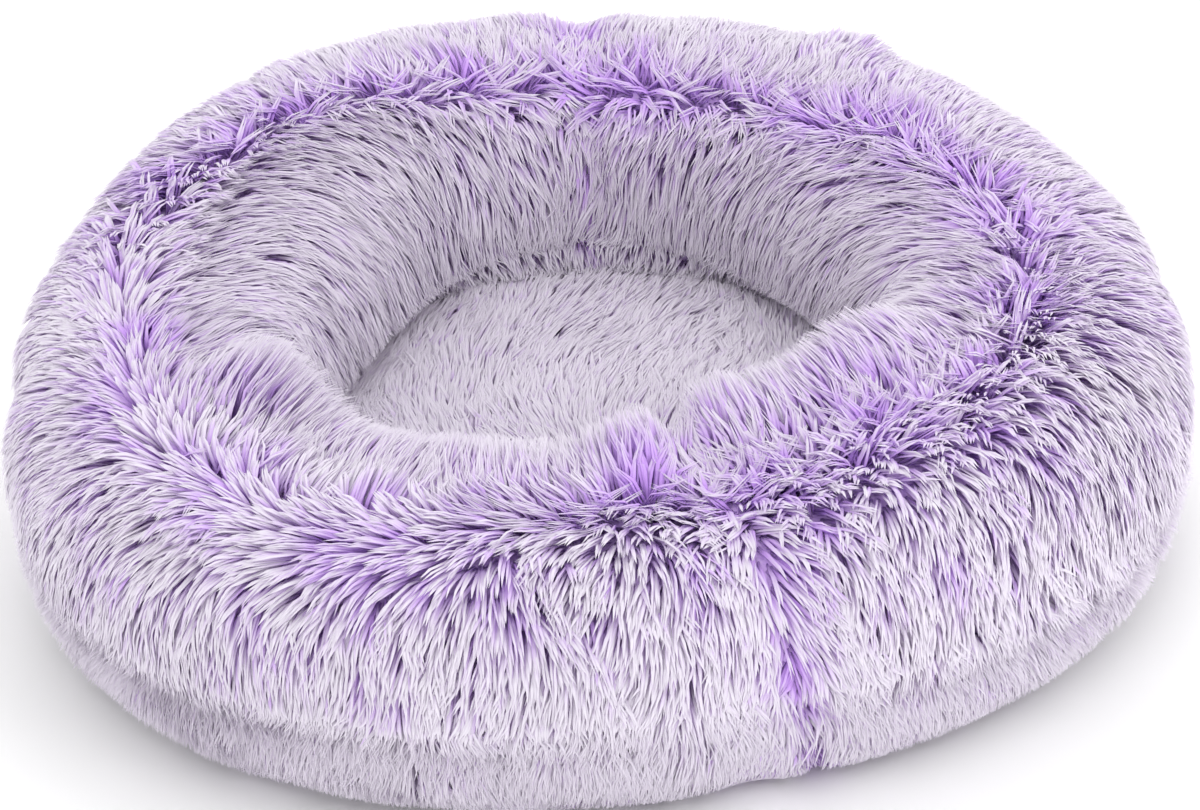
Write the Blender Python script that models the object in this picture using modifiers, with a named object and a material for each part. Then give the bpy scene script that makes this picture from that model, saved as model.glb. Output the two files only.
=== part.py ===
"""A round pet bed: a stuffed ring of long-pile fur panels sewn round a crowned lower cushion.

The lower cushion stands on a woven panel with grip dots. A plastic-toothed zip at the back, in the
seam between the ring and the cushion, has a slider that runs along the seam and a pull that swings.
Lengths are in metres, +Z is up, and the origin is the middle of the underside.
"""

import math
from types import SimpleNamespace

import bmesh
import bpy
import numpy as np

# Overall sizes, over the pile
BED_RADIUS = 0.300
CREST_HEIGHT = 0.150
RING_HALF_WIDTH = 0.085
WIDEST_HEIGHT = 0.066
HEM_TUCK = 0.007
PILE_DEPTH = 0.013
SECTION_POWER = 2.8

# How the stuffed ring departs from a plain turned ring
LOBE_TWO_DEPTH = 0.006
LOBE_TWO_AZIMUTH = math.radians(70)
LOBE_THREE_DEPTH = 0.009
LOBE_THREE_AZIMUTH = math.radians(-23)
CREST_TILT_RISE = 0.010
CREST_TILT_AZIMUTH = math.radians(95)
CREST_OVAL_RISE = 0.006
CREST_OVAL_AZIMUTH = math.radians(152)
PANEL_SWELL = 0.007
SEAM_DRAW = 0.007
SEAM_DRAW_WIDTH = 0.014

# The radial seams between the four fur panels, and where each panel is sampled between them
SEAM_AZIMUTHS = [math.radians(a) for a in (0, 90, 190, 284)]
PANEL_NAMES = ["back_right", "back_left", "front_left", "front_right"]
STATION_SHARES = [0, 0.045, 0.13, 0.25, 0.375, 0.5, 0.625, 0.75, 0.87, 0.955]
CREST_ANGLES = [math.radians(a) for a in (0, 18, 38, 62, 90, 118, 142, 162, 180)]
WALL_SHARES = [0.3, 0.62]
SAME_ANGLE = math.radians(0.001)

# The lower cushion and the seam that joins the ring to it
SEAM_HEIGHT = 0.034
SEAM_INSET = 0.032
BASE_FOOT_INSET = 0.053
DOT_HEIGHT = 0.001
DOT_RADIUS = 0.004
DOT_PITCH = 0.072
DOT_MARGIN = 0.016
DOT_RING_STEP = 6
DOT_SIDES = 6
DOT_SINK = 0.0006
BASE_SHEET = 0.0014
LINER_SHEET = 0.001
BASE_CROWN = 0.010
SLEEPING_CROWN = 0.004
SIDE_SHARES = [0.0, 0.12, 0.4, 1.0]
CROWN_SHARES = [0.0, 0.35, 0.65, 0.88]
FOOT_RISE = 0.012
FOOT_PILE_RISE = 0.009
FOOT_PILE_LENGTH = 0.016
FOOT_TUCK = 0.007
FOOT_EASE = 0.0012
HEM_CLEARANCE = 0.001
TURNED_STEPS = 40
MERGE_DISTANCE = 0.00001
SMOOTH_ANGLE = math.radians(50)

# Working gaps between pieces that touch on the real bed
GAP = 0.0003
CUT_OVERRUN = 0.002

# The zip
TOOTH_PITCH = 0.004
TOOTH_COUNT = 64
TOOTH_OVERLAP = 0.001
TEETH_THICKNESS = 0.0024
STRIP_HEIGHT = 0.0012
TAPE_THICKNESS = 0.0008
TAPE_CATCH = 0.003
TAPE_TAIL = 0.012
TAPE_TEETH_STEP = 4
STOP_LENGTH = 0.003
STOP_PROUD = 0.001
SLIDER_LENGTH = 0.011
SLIDER_CLEARANCE = 0.0004
PLATE_THICKNESS = 0.0013
PLATE_BEVEL = 0.0006
FLANGE_HEIGHT = 0.0012
SHOULDER_FLARE = 0.0008
SLIDER_SHARES = [0, 0.45, 0.8, 1]
FLARE_SHARES = [0, 0, 1, 0.7]
BACK_CLEARANCE = 0.0006
CHANNEL_ROOM = 0.0045
CHANNEL_RAMP = math.radians(4)
BRIDGE_HALF_LENGTH = 0.0036
BRIDGE_HEIGHT = 0.0035
BRIDGE_THICKNESS = 0.0011
BRIDGE_WIDTH = 0.0026
BRIDGE_SINK = 0.0005
BRIDGE_STEPS = 10
PINTLE_LIFT = 0.001
PULL_LENGTH = 0.026
PULL_WIDTH = 0.007
PULL_THICKNESS = 0.0014
PULL_WAIST_THICKNESS = 0.001
PULL_WINDOW_START = 0.0009
PULL_WINDOW_END = 0.0052
PULL_WINDOW_WIDTH = 0.0044
PULL_GRIP_LENGTH = 0.007
PULL_ROUND_STEPS = 6
PULL_END_ROOM = 0.004

# Sizes that follow from those above
RING_RADIUS = BED_RADIUS - RING_HALF_WIDTH
ZIP_RADIUS = BED_RADIUS - SEAM_INSET
BASE_FOOT_RADIUS = BED_RADIUS - BASE_FOOT_INSET
DOT_RINGS = int((BASE_FOOT_RADIUS - DOT_RADIUS - DOT_MARGIN) / DOT_PITCH)
SKIRT_DROP = WIDEST_HEIGHT + HEM_TUCK
TEETH_HALF = TEETH_THICKNESS / 2
TAPE_HALF = TAPE_THICKNESS / 2
STRIP_NEAR = TOOTH_OVERLAP + GAP
STRIP_FAR = STRIP_NEAR + STRIP_HEIGHT
PLATE_INNER = TEETH_HALF + SLIDER_CLEARANCE
PLATE_OUTER = PLATE_INNER + PLATE_THICKNESS
FLANGE_INNER = TAPE_HALF + SLIDER_CLEARANCE
SLIDER_HALF_HEIGHT = STRIP_FAR + SLIDER_CLEARANCE + FLANGE_HEIGHT
CHANNEL_HALF = SLIDER_HALF_HEIGHT + CHANNEL_ROOM
TAPE_REACH = CHANNEL_HALF + TAPE_CATCH
TAPE_TOP = SEAM_HEIGHT + TAPE_REACH + GAP
TAPE_BOTTOM = SEAM_HEIGHT - TAPE_REACH - GAP
LINING_RADIUS = ZIP_RADIUS - PLATE_OUTER - BACK_CLEARANCE
FOOT_RADIUS = RING_RADIUS - RING_HALF_WIDTH + PILE_DEPTH + FOOT_TUCK
FOOT_HEIGHT = SEAM_HEIGHT + FOOT_RISE
FOOT_MIDDLE = (FOOT_HEIGHT + WIDEST_HEIGHT) / 2
FOOT_PILE_RADIUS = FOOT_RADIUS - FOOT_PILE_LENGTH
FOOT_PILE_HEIGHT = FOOT_HEIGHT + FOOT_PILE_RISE
BAG_BOTTOM = DOT_HEIGHT + BASE_SHEET + GAP
BAG_TOP = SEAM_HEIGHT - GAP
BAG_RIM = BAG_TOP - LINER_SHEET - GAP
ZIP_MIDDLE = math.radians(90)
ZIP_HALF_ANGLE = TOOTH_COUNT * TOOTH_PITCH / ZIP_RADIUS / 2
SLIDER_HALF_ANGLE = SLIDER_LENGTH / ZIP_RADIUS / 2
SLIDER_REST = ZIP_MIDDLE - ZIP_HALF_ANGLE + SLIDER_HALF_ANGLE + GAP / ZIP_RADIUS
CHANNEL_HALF_ANGLE = ZIP_HALF_ANGLE + (PULL_LENGTH + PULL_END_ROOM) / ZIP_RADIUS

COLLECTION_NAME = "round_pet_bed"
CUTTER_COLLECTION_NAME = "cutters"


def clear_scene():
    """Removes what the scene held before."""
    for item in list(bpy.data.objects):
        bpy.data.objects.remove(item)


def new_collection(name):
    collection = bpy.data.collections.new(name)
    bpy.context.scene.collection.children.link(collection)
    return collection


def material(name, colour, roughness, metallic=0.0):
    """A plain finish: colour, roughness and metallic value."""
    made = bpy.data.materials.new(name)
    made.use_nodes = True
    shader = made.node_tree.nodes["Principled BSDF"]
    shader.inputs["Base Color"].default_value = (*colour, 1.0)
    shader.inputs["Roughness"].default_value = roughness
    shader.inputs["Metallic"].default_value = metallic
    return made


def make_materials():
    return SimpleNamespace(
        fur=material("lilac_fur", (0.72, 0.62, 0.84), 0.9),
        lining=material("white_lining", (0.86, 0.85, 0.88), 0.8),
        fill=material("white_fibre_fill", (0.93, 0.93, 0.93), 0.95),
        grip=material("grey_grip_cloth", (0.33, 0.31, 0.36), 0.7),
        tape=material("lilac_zip_tape", (0.55, 0.45, 0.68), 0.8),
        teeth=material("lilac_zip_teeth", (0.66, 0.57, 0.78), 0.4),
        metal=material("nickel_zip_slider", (0.70, 0.70, 0.72), 0.3, 1.0),
    )


def smooth_step(x):
    """Rises from 0 to 1 with level ends."""
    x = np.clip(x, 0.0, 1.0)
    return x * x * (3 - 2 * x)


def panel_span(index):
    """The azimuths at which a panel starts and ends."""
    start = SEAM_AZIMUTHS[index]
    end = SEAM_AZIMUTHS[(index + 1) % len(SEAM_AZIMUTHS)]
    return start, end if end > start else end + math.tau


def channel_edges():
    """The azimuths where the open channel round the zip ramps down, from first to last."""
    first = ZIP_MIDDLE - CHANNEL_HALF_ANGLE
    last = ZIP_MIDDLE + CHANNEL_HALF_ANGLE
    return [first - CHANNEL_RAMP, first, last, last + CHANNEL_RAMP]


def stations(start, end):
    """The azimuths from start up to end: the shares of each panel, and the ends of the channel."""
    found = []
    for index in range(len(SEAM_AZIMUTHS)):
        first, last = panel_span(index)
        found += [first + share * (last - first) for share in STATION_SHARES]
    found += channel_edges()
    return np.array(sorted(a for a in found if start - SAME_ANGLE <= a < end - SAME_ANGLE))


def ring_stations():
    """The azimuths all the way round, without the last, which would repeat the first."""
    first = SEAM_AZIMUTHS[0]
    return stations(first, first + math.tau)


def largest_step():
    found = ring_stations()
    return float(np.max(np.diff(np.append(found, found[0] + math.tau))))


def clear_of(radius):
    """The radius at which a faceted ring's flats stay a gap outside a circle of this radius."""
    return (radius + GAP) / math.cos(largest_step() / 2)


def panel_share(azimuth):
    """How far along its panel each azimuth lies, from 0 to 1, and the arc length to the nearest seam."""
    share = np.zeros_like(azimuth)
    for index in range(len(SEAM_AZIMUTHS)):
        first, last = panel_span(index)
        turned = (azimuth - first) % math.tau
        inside = turned < last - first
        share[inside] = turned[inside] / (last - first)
    to_seam = np.min(
        [np.abs((azimuth - a + math.pi) % math.tau - math.pi) for a in SEAM_AZIMUTHS], axis=0
    )
    return share, to_seam * RING_RADIUS


def ring_shape(azimuth):
    """The ring's centre radius, half widths and crest heights at these azimuths, for pile and backing."""
    azimuth = np.asarray(azimuth, float)
    share, to_seam = panel_share(azimuth)
    swell = np.sin(math.pi * share) ** 2 - 0.5
    pinch = np.exp(-((to_seam / SEAM_DRAW_WIDTH) ** 2))
    centre = RING_RADIUS + LOBE_TWO_DEPTH * np.cos(2 * (azimuth - LOBE_TWO_AZIMUTH))
    centre = centre + LOBE_THREE_DEPTH * np.cos(3 * (azimuth - LOBE_THREE_AZIMUTH))
    half = RING_HALF_WIDTH + PANEL_SWELL * swell / 2
    crest = CREST_HEIGHT + CREST_TILT_RISE * np.cos(azimuth - CREST_TILT_AZIMUTH)
    crest = crest + CREST_OVAL_RISE * np.cos(2 * (azimuth - CREST_OVAL_AZIMUTH))
    crest = crest + PANEL_SWELL * swell
    return SimpleNamespace(
        azimuth=azimuth,
        centre=centre,
        pile_half=half - SEAM_DRAW * pinch,
        pile_crest=crest - SEAM_DRAW * pinch,
        back_half=half - PILE_DEPTH,
        back_crest=crest - PILE_DEPTH,
    )


def in_channel(azimuth):
    """1 along the zip's open channel, 0 away from it, with a ramp at each end."""
    edges = channel_edges()
    return np.interp(azimuth, edges, [0, 1, 1, 0])


def upper_curve(shape, half, crest, angle):
    """A point of the ring's upper half, a superellipse, at this angle round its section."""
    power = 2 / SECTION_POWER
    across = math.copysign(abs(math.cos(angle)) ** power, math.cos(angle))
    rise = abs(math.sin(angle)) ** power
    if math.isclose(angle, math.pi / 2):
        across = 0.0
    return shape.centre + half * across, WIDEST_HEIGHT + (crest - WIDEST_HEIGHT) * rise


def pile_skirt(shape, height):
    """The outer pile surface below its widest point, which would close a little under the floor."""
    drop = np.clip((WIDEST_HEIGHT - height) / SKIRT_DROP, 0, 1)
    reach = (1 - drop**SECTION_POWER) ** (1 / SECTION_POWER)
    return shape.centre + shape.pile_half * reach


def outer_wall(shape, height, seam_radius, inset):
    """The backing's outer side, drawn in from its widest point to the lower seam."""
    rise = smooth_step((height - TAPE_TOP) / (WIDEST_HEIGHT - TAPE_TOP))
    widest = shape.centre + shape.back_half - inset
    return seam_radius + (widest - seam_radius) * rise


def inner_wall(shape, height, inset):
    """The backing's inner side, drawn back from its widest point to the seam at its foot."""
    rise = smooth_step((height - FOOT_HEIGHT) / (WIDEST_HEIGHT - FOOT_HEIGHT))
    widest = shape.centre - shape.back_half + inset
    foot = FOOT_RADIUS + inset
    return foot + (widest - foot) * rise


def inner_pile(shape, height):
    """The pile's inner side, from its widest point down to the edge of the sleeping surface."""
    rise = smooth_step((height - FOOT_PILE_HEIGHT) / (WIDEST_HEIGHT - FOOT_PILE_HEIGHT))
    widest = shape.centre - shape.pile_half
    return FOOT_PILE_RADIUS + (widest - FOOT_PILE_RADIUS) * rise


def placed(shape, points):
    """Turns a list of (radius, height) arrays into points in space, one row for each azimuth."""
    rows = []
    for radius, height in points:
        radius = radius + np.zeros_like(shape.azimuth)
        height = height + np.zeros_like(shape.azimuth)
        x = radius * np.cos(shape.azimuth)
        y = radius * np.sin(shape.azimuth)
        rows.append(np.stack([x, y, height], axis=-1))
    return np.stack(rows, axis=1)


def link(name, mesh, finish, collection):
    item = bpy.data.objects.new(name, mesh)
    item.data.materials.append(finish)
    collection.objects.link(item)
    return item


def lofted(name, rows, finish, collection, ring, paired=False):
    """A solid through rows of section points, closed into a ring or capped at both ends.

    A paired section lists its outer points and then its inner points backwards. Its caps are strips
    of quads between them, and its inner faces split the same way as the outer faces of what it wraps.
    """
    bm = bmesh.new()
    count, size = rows.shape[:2]
    verts = [[bm.verts.new(point) for point in row] for row in rows]
    forward = size // 2 if paired else size
    for i in range(count if ring else count - 1):
        here = verts[i]
        after = verts[(i + 1) % count]
        for j in range(size):
            k = (j + 1) % size
            if j < forward:
                bm.faces.new((here[j], here[k], after[k], after[j]))
            else:
                bm.faces.new((here[k], after[k], after[j], here[j]))
    if not ring:
        for row in (verts[0], verts[-1]):
            if paired:
                for j in range(size // 2 - 1):
                    bm.faces.new((row[j], row[j + 1], row[size - 2 - j], row[size - 1 - j]))
            else:
                bm.faces.new(row)
    bmesh.ops.recalc_face_normals(bm, faces=bm.faces)
    mesh = bpy.data.meshes.new(name)
    bm.to_mesh(mesh)
    bm.free()
    mesh.shade_smooth()
    mesh.set_sharp_from_angle(angle=SMOOTH_ANGLE)
    return link(name, mesh, finish, collection)


def turned(name, profile, finish, collection, steps=TURNED_STEPS):
    """A profile of (radius, height) points from the axis, down the outer side and back, turned."""
    mesh = bpy.data.meshes.new(name)
    points = [(radius, 0.0, height) for radius, height in profile]
    mesh.from_pydata(points, [(i, i + 1) for i in range(len(points) - 1)], [])
    item = link(name, mesh, finish, collection)
    screw = item.modifiers.new("turn", "SCREW")
    screw.steps = steps
    screw.render_steps = steps
    screw.use_merge_vertices = True
    screw.merge_threshold = MERGE_DISTANCE
    screw.use_smooth_shade = True
    return item


def union(target, other, cutters):
    """Joins another object's shape into the target and keeps the other as a hidden guide."""
    boolean = target.modifiers.new("join_" + other.name, "BOOLEAN")
    boolean.operation = "UNION"
    boolean.solver = "EXACT"
    boolean.object = other
    hide(other, cutters)


def cut(target, other, cutters):
    boolean = target.modifiers.new("cut_" + other.name, "BOOLEAN")
    boolean.operation = "DIFFERENCE"
    boolean.solver = "EXACT"
    boolean.object = other
    hide(other, cutters)


def hide(item, cutters):
    for collection in list(item.users_collection):
        collection.objects.unlink(item)
    cutters.objects.link(item)
    item.hide_render = True
    item.display_type = "WIRE"


def side_radius(share, inset=0.0):
    """The lower cushion's side at a share of its height: a quarter ellipse, swelling upwards."""
    swell = math.sqrt(1 - (1 - share) ** 2)
    return BASE_FOOT_RADIUS + (LINING_RADIUS - BASE_FOOT_RADIUS) * swell - inset


def crown_height(radius):
    """The rise of the lower cushion's top inside the ring's foot."""
    return BASE_CROWN * (1 - min(radius / FOOT_RADIUS, 1) ** 2)


def side_profile(bottom, top, inset):
    """The cushion's side from top to bottom, as (radius, height) points."""
    return [
        (side_radius(share, inset), bottom + share * (top - bottom)) for share in reversed(SIDE_SHARES)
    ]


def make_base_panel(finish, collection, cutters):
    """The woven underside with its moulded grip dots."""
    bottom = DOT_HEIGHT
    profile = [
        (0.0, bottom + BASE_SHEET),
        (BASE_FOOT_RADIUS, bottom + BASE_SHEET),
        (BASE_FOOT_RADIUS, bottom),
        (0.0, bottom),
    ]
    panel = turned("base_panel", profile, finish, collection)
    union(panel, make_dots(finish, collection), cutters)
    return panel


def make_dots(finish, collection):
    """Grip dots on rings a pitch apart, as many rings as fit inside the panel's edge."""
    bm = bmesh.new()
    depth = DOT_HEIGHT + DOT_SINK
    for ring in range(DOT_RINGS + 1):
        count = max(1, ring * DOT_RING_STEP)
        for turn in range(count):
            azimuth = math.tau * turn / count
            made = bmesh.ops.create_cone(
                bm,
                cap_ends=True,
                segments=DOT_SIDES,
                radius1=DOT_RADIUS,
                radius2=DOT_RADIUS,
                depth=depth,
            )
            x = ring * DOT_PITCH * math.cos(azimuth)
            y = ring * DOT_PITCH * math.sin(azimuth)
            bmesh.ops.translate(bm, verts=made["verts"], vec=(x, y, depth / 2))
    mesh = bpy.data.meshes.new("grip_dots")
    bm.to_mesh(mesh)
    bm.free()
    return link("grip_dots", mesh, finish, collection)


def make_base_bag(finish, fill_finish, collection):
    """The lower cushion's liner, in two halves that meet along the rim, and the fibre inside it."""
    inset = LINER_SHEET
    floor = BAG_BOTTOM + LINER_SHEET
    outer = side_profile(BAG_BOTTOM, BAG_RIM, 0.0)
    inner = side_profile(floor, BAG_RIM, inset)
    profile = [(0.0, floor)] + inner[::-1] + outer + [(0.0, BAG_BOTTOM)]
    turned("base_liner_lower", profile, finish, collection)

    radii = [share * FOOT_RADIUS for share in CROWN_SHARES]
    crown = [(radius, BAG_TOP + crown_height(radius)) for radius in radii]
    crown += [(FOOT_RADIUS, BAG_TOP), (LINING_RADIUS, BAG_TOP)]
    under = [(radius, height - LINER_SHEET) for radius, height in reversed(crown)]
    turned("base_liner_upper", crown + under, finish, collection)

    fill_top = [(radius, height - LINER_SHEET - GAP) for radius, height in crown[:-1]]
    fill_low = floor + GAP
    fill_side = side_profile(fill_low, fill_top[-1][1], inset + GAP)
    turned("base_fill", fill_top + fill_side + [(0.0, fill_low)], fill_finish, collection)


def make_sleeping_surface(finish, collection):
    """The fur panel in the nest: crowned, and sloped at its edge where the ring's pile meets it."""
    edge_radius = FOOT_RADIUS - FOOT_EASE
    brink = FOOT_PILE_HEIGHT - FOOT_EASE
    profile = [(0.0, brink + SLEEPING_CROWN)]
    for share in CROWN_SHARES[1:]:
        radius = share * FOOT_PILE_RADIUS
        profile.append((radius, brink + SLEEPING_CROWN * (1 - share**2)))
    profile.append((FOOT_PILE_RADIUS, brink))
    profile.append((edge_radius, FOOT_HEIGHT - FOOT_EASE))
    for share in reversed(CROWN_SHARES + [1.0]):
        radius = share * edge_radius
        profile.append((radius, SEAM_HEIGHT + crown_height(share * FOOT_RADIUS)))
    turned("sleeping_surface", profile, finish, collection)


def make_base_border(finish, collection):
    """The fur band round the lower cushion, cut back along the zip's channel."""
    shape = ring_shape(ring_stations())
    channel = in_channel(shape.azimuth)
    top = SEAM_HEIGHT - GAP / 2 - (CHANNEL_HALF - GAP / 2) * channel
    bag_height = BAG_RIM - BAG_BOTTOM
    sides = [(BAG_BOTTOM + share * bag_height, side_radius(share)) for share in SIDE_SHARES[1:-1]]
    sides = [(HEM_CLEARANCE, BASE_FOOT_RADIUS)] + sides + [(TAPE_BOTTOM, LINING_RADIUS)]
    heights = [height + 0 * top for height, _ in sides] + [top]
    radii = [radius for _, radius in sides] + [LINING_RADIUS]
    zip_clear = clear_of(ZIP_RADIUS + TAPE_HALF)
    outer = [(pile_skirt(shape, height), height) for height in heights]
    inner = []
    for height, radius in zip(heights, radii):
        behind = np.where(height >= TAPE_BOTTOM - GAP, channel, 0)
        plain = clear_of(radius)
        inner.append((plain + (zip_clear - plain) * np.sqrt(behind), height))
    rows = placed(shape, outer + inner[::-1])
    return lofted("base_border", rows, finish, collection, ring=True)


def make_divider(finish, collection):
    """The woven ring that closes the bolster's underside."""
    shape = ring_shape(ring_stations())
    low = SEAM_HEIGHT
    high = SEAM_HEIGHT + LINER_SHEET
    points = [(FOOT_RADIUS, low), (LINING_RADIUS, low), (LINING_RADIUS, high), (FOOT_RADIUS, high)]
    return lofted("bolster_divider", placed(shape, points), finish, collection, ring=True)


def wall_heights(bottom):
    """Heights at which the ring's outer side is sampled below its widest point."""
    rise = WIDEST_HEIGHT - TAPE_TOP
    return [bottom, TAPE_TOP] + [TAPE_TOP + share * rise for share in WALL_SHARES]


def crest_points(shape, inset):
    """The backing's upper half, inset by a layer, from its outer side over to its inner side."""
    half = shape.back_half - inset
    crest = shape.back_crest - inset
    return [upper_curve(shape, half, crest, angle) for angle in CREST_ANGLES]


def make_bolster_liner(finish, collection):
    """The woven bag inside the ring, in an upper and a lower half that meet at the widest point."""
    shape = ring_shape(ring_stations())
    outside = crest_points(shape, GAP)
    inside = crest_points(shape, GAP + LINER_SHEET)
    rows = placed(shape, outside + inside[::-1])
    lofted("bolster_liner_upper", rows, finish, collection, ring=True, paired=True)

    bottom = SEAM_HEIGHT + LINER_SHEET + GAP
    outside = lower_path(shape, bottom, GAP, LINING_RADIUS, WIDEST_HEIGHT - GAP)
    inside = lower_path(
        shape,
        bottom + LINER_SHEET,
        GAP + LINER_SHEET,
        LINING_RADIUS - LINER_SHEET,
        WIDEST_HEIGHT - GAP,
    )
    rows = placed(shape, outside + inside[::-1])
    lofted("bolster_liner_lower", rows, finish, collection, ring=True, paired=True)


def on_facet(low, high, height):
    """The point at this height on the straight facet between two (radius, height) points."""
    share = (height - low[1]) / (high[1] - low[1])
    return low[0] + (high[0] - low[0]) * share, height


def lower_path(shape, bottom, inset, seam_radius, top):
    """The ring's lower half from its inner widest point, under, and up to its outer widest point."""
    widest = (inner_wall(shape, WIDEST_HEIGHT, inset), WIDEST_HEIGHT)
    middle = (inner_wall(shape, FOOT_MIDDLE, inset), FOOT_MIDDLE)
    path = [on_facet(middle, widest, top), middle]
    for height in (FOOT_HEIGHT, bottom):
        path.append((inner_wall(shape, height, inset), height))
    for height in wall_heights(bottom):
        path.append((outer_wall(shape, height, seam_radius, inset), height))
    widest = (outer_wall(shape, WIDEST_HEIGHT, seam_radius, inset), WIDEST_HEIGHT)
    path.append(on_facet(path[-1], widest, top))
    return path


def make_bolster_fill(finish, collection):
    """The fibre that stuffs the ring."""
    shape = ring_shape(ring_stations())
    inset = 2 * GAP + LINER_SHEET
    bottom = SEAM_HEIGHT + 2 * LINER_SHEET + 2 * GAP
    crest = crest_points(shape, inset)
    seam_radius = LINING_RADIUS - LINER_SHEET - GAP
    path = lower_path(shape, bottom, inset, seam_radius, WIDEST_HEIGHT)
    rows = placed(shape, crest + path[1:-1])
    return lofted("bolster_fill", rows, finish, collection, ring=True)


def panel_section(shape):
    """A fur panel's section: the pile from the lower seam over to the foot, and the backing back."""
    channel = in_channel(shape.azimuth)
    bottom = SEAM_HEIGHT + GAP / 2 + (CHANNEL_HALF - GAP / 2) * channel
    seam_plain = clear_of(LINING_RADIUS)
    seam_zip = clear_of(ZIP_RADIUS + TAPE_HALF)
    seam_radius = seam_plain + (seam_zip - seam_plain) * np.sqrt(channel)
    pile = []
    back = []
    for height in wall_heights(bottom):
        height = height + np.zeros_like(bottom)
        pile.append((pile_skirt(shape, height), height))
        back.append((outer_wall(shape, height, seam_radius, 0.0), height))
    for angle in CREST_ANGLES:
        pile.append(upper_curve(shape, shape.pile_half, shape.pile_crest, angle))
    back += crest_points(shape, 0.0)
    pile_middle = (FOOT_PILE_HEIGHT + WIDEST_HEIGHT) / 2
    pile.append((inner_pile(shape, pile_middle), pile_middle))
    back.append((inner_wall(shape, FOOT_MIDDLE, 0.0), FOOT_MIDDLE))
    pile.append((inner_pile(shape, FOOT_PILE_HEIGHT), FOOT_PILE_HEIGHT))
    back.append((inner_wall(shape, FOOT_HEIGHT, 0.0), FOOT_HEIGHT))
    return pile + back[::-1]


def make_bolster_panels(finish, collection):
    """Four fur panels, each crowned along its length and drawn in at its radial seams."""
    half_gap = GAP / 2 / (RING_RADIUS - RING_HALF_WIDTH)
    for index, name in enumerate(PANEL_NAMES):
        start, end = panel_span(index)
        azimuth = stations(start, end)
        azimuth[0] = start + half_gap
        azimuth = np.append(azimuth, end - half_gap)
        shape = ring_shape(azimuth)
        rows = placed(shape, panel_section(shape))
        lofted("bolster_panel_" + name, rows, finish, collection, ring=False, paired=True)


def ring_block(name, azimuths, offsets, finish, collection):
    """A block swept round the axis: (radial offset from the zip, height from the seam) points."""
    azimuths = np.asarray(azimuths)
    shape = SimpleNamespace(azimuth=azimuths)
    points = [(ZIP_RADIUS + radial, SEAM_HEIGHT + height) for radial, height in offsets]
    return lofted(name, placed(shape, points), finish, collection, ring=False)


def rectangle(radial_low, radial_high, low, high):
    """The corners of a rectangle, in order."""
    return [(radial_low, low), (radial_high, low), (radial_high, high), (radial_low, high)]


def make_zip_tapes(finish, collection):
    """The two woven tapes, each caught behind the fur at its outer edge."""
    step = TAPE_TEETH_STEP * TOOTH_PITCH / ZIP_RADIUS
    tail = TAPE_TAIL / ZIP_RADIUS
    first = ZIP_MIDDLE - ZIP_HALF_ANGLE - tail
    count = round(2 * (ZIP_HALF_ANGLE + tail) / step)
    azimuths = np.linspace(first, first + 2 * (ZIP_HALF_ANGLE + tail), count + 1)
    near = STRIP_FAR + GAP
    for side, name in ((1, "upper"), (-1, "lower")):
        low, high = sorted((side * near, side * TAPE_REACH))
        offsets = rectangle(-TAPE_HALF, TAPE_HALF, low, high)
        ring_block("zip_tape_" + name, azimuths, offsets, finish, collection)


def tooth_edges(phase):
    """The azimuths of a row's tooth edges, with the ends of its strip."""
    width = TOOTH_PITCH / 2 - GAP
    first = ZIP_MIDDLE - ZIP_HALF_ANGLE
    edges = [first]
    for tooth in range(TOOTH_COUNT):
        start = (tooth + phase) * TOOTH_PITCH + GAP / 2
        edges.append(first + start / ZIP_RADIUS)
        edges.append(first + (start + width) / ZIP_RADIUS)
    edges.append(ZIP_MIDDLE + ZIP_HALF_ANGLE)
    return edges


def make_zip_teeth(finish, collection):
    """Two rows of moulded teeth on their strips, each row half a pitch along from the other."""
    for side, phase, name in ((1, 0.0, "upper"), (-1, 0.5, "lower")):
        low, high = sorted((side * STRIP_NEAR, side * STRIP_FAR))
        offsets = rectangle(-TEETH_HALF, TEETH_HALF, low, high)
        edges = tooth_edges(phase)
        row = ring_block("zip_teeth_" + name, edges, offsets, finish, collection)
        bm = bmesh.new()
        bm.from_mesh(row.data)
        bm.normal_update()
        near = SEAM_HEIGHT + side * STRIP_NEAR
        inner = [f for f in bm.faces if abs(f.calc_center_median().z - near) < GAP / 2]
        inner.sort(key=lambda f: math.atan2(f.calc_center_median().y, f.calc_center_median().x))
        made = bmesh.ops.extrude_discrete_faces(bm, faces=inner[1::2])
        reach = -side * (STRIP_NEAR + TOOTH_OVERLAP)
        for face in made["faces"]:
            bmesh.ops.translate(bm, verts=face.verts, vec=(0, 0, reach))
        bm.to_mesh(row.data)
        bm.free()


def make_zip_stops(finish, collection):
    """A stop on each row at the closed end, and one across both rows at the open end."""
    length = STOP_LENGTH / ZIP_RADIUS
    ease = GAP / ZIP_RADIUS
    thick = TEETH_HALF + STOP_PROUD
    first = ZIP_MIDDLE - ZIP_HALF_ANGLE - ease
    last = ZIP_MIDDLE + ZIP_HALF_ANGLE + ease
    for side, name in ((1, "upper"), (-1, "lower")):
        low, high = sorted((side * GAP / 2, side * STRIP_FAR))
        offsets = rectangle(-thick, thick, low, high)
        ring_block("zip_top_stop_" + name, [first - length, first], offsets, finish, collection)
    offsets = rectangle(-thick, thick, -STRIP_FAR, STRIP_FAR)
    ring_block("zip_bottom_stop", [last, last + length], offsets, finish, collection)


def plate_section(side, flare):
    """The section of one slider plate: a channel whose flanges reach in to the tapes."""
    height = SLIDER_HALF_HEIGHT + flare
    cavity = height - FLANGE_HEIGHT
    half = [
        (PLATE_INNER, cavity),
        (FLANGE_INNER, cavity),
        (FLANGE_INNER, height),
        (PLATE_OUTER - PLATE_BEVEL, height),
        (PLATE_OUTER, height - PLATE_BEVEL),
    ]
    section = half + [(radial, -up) for radial, up in reversed(half)]
    return [(side * radial, up) for radial, up in section]


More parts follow.
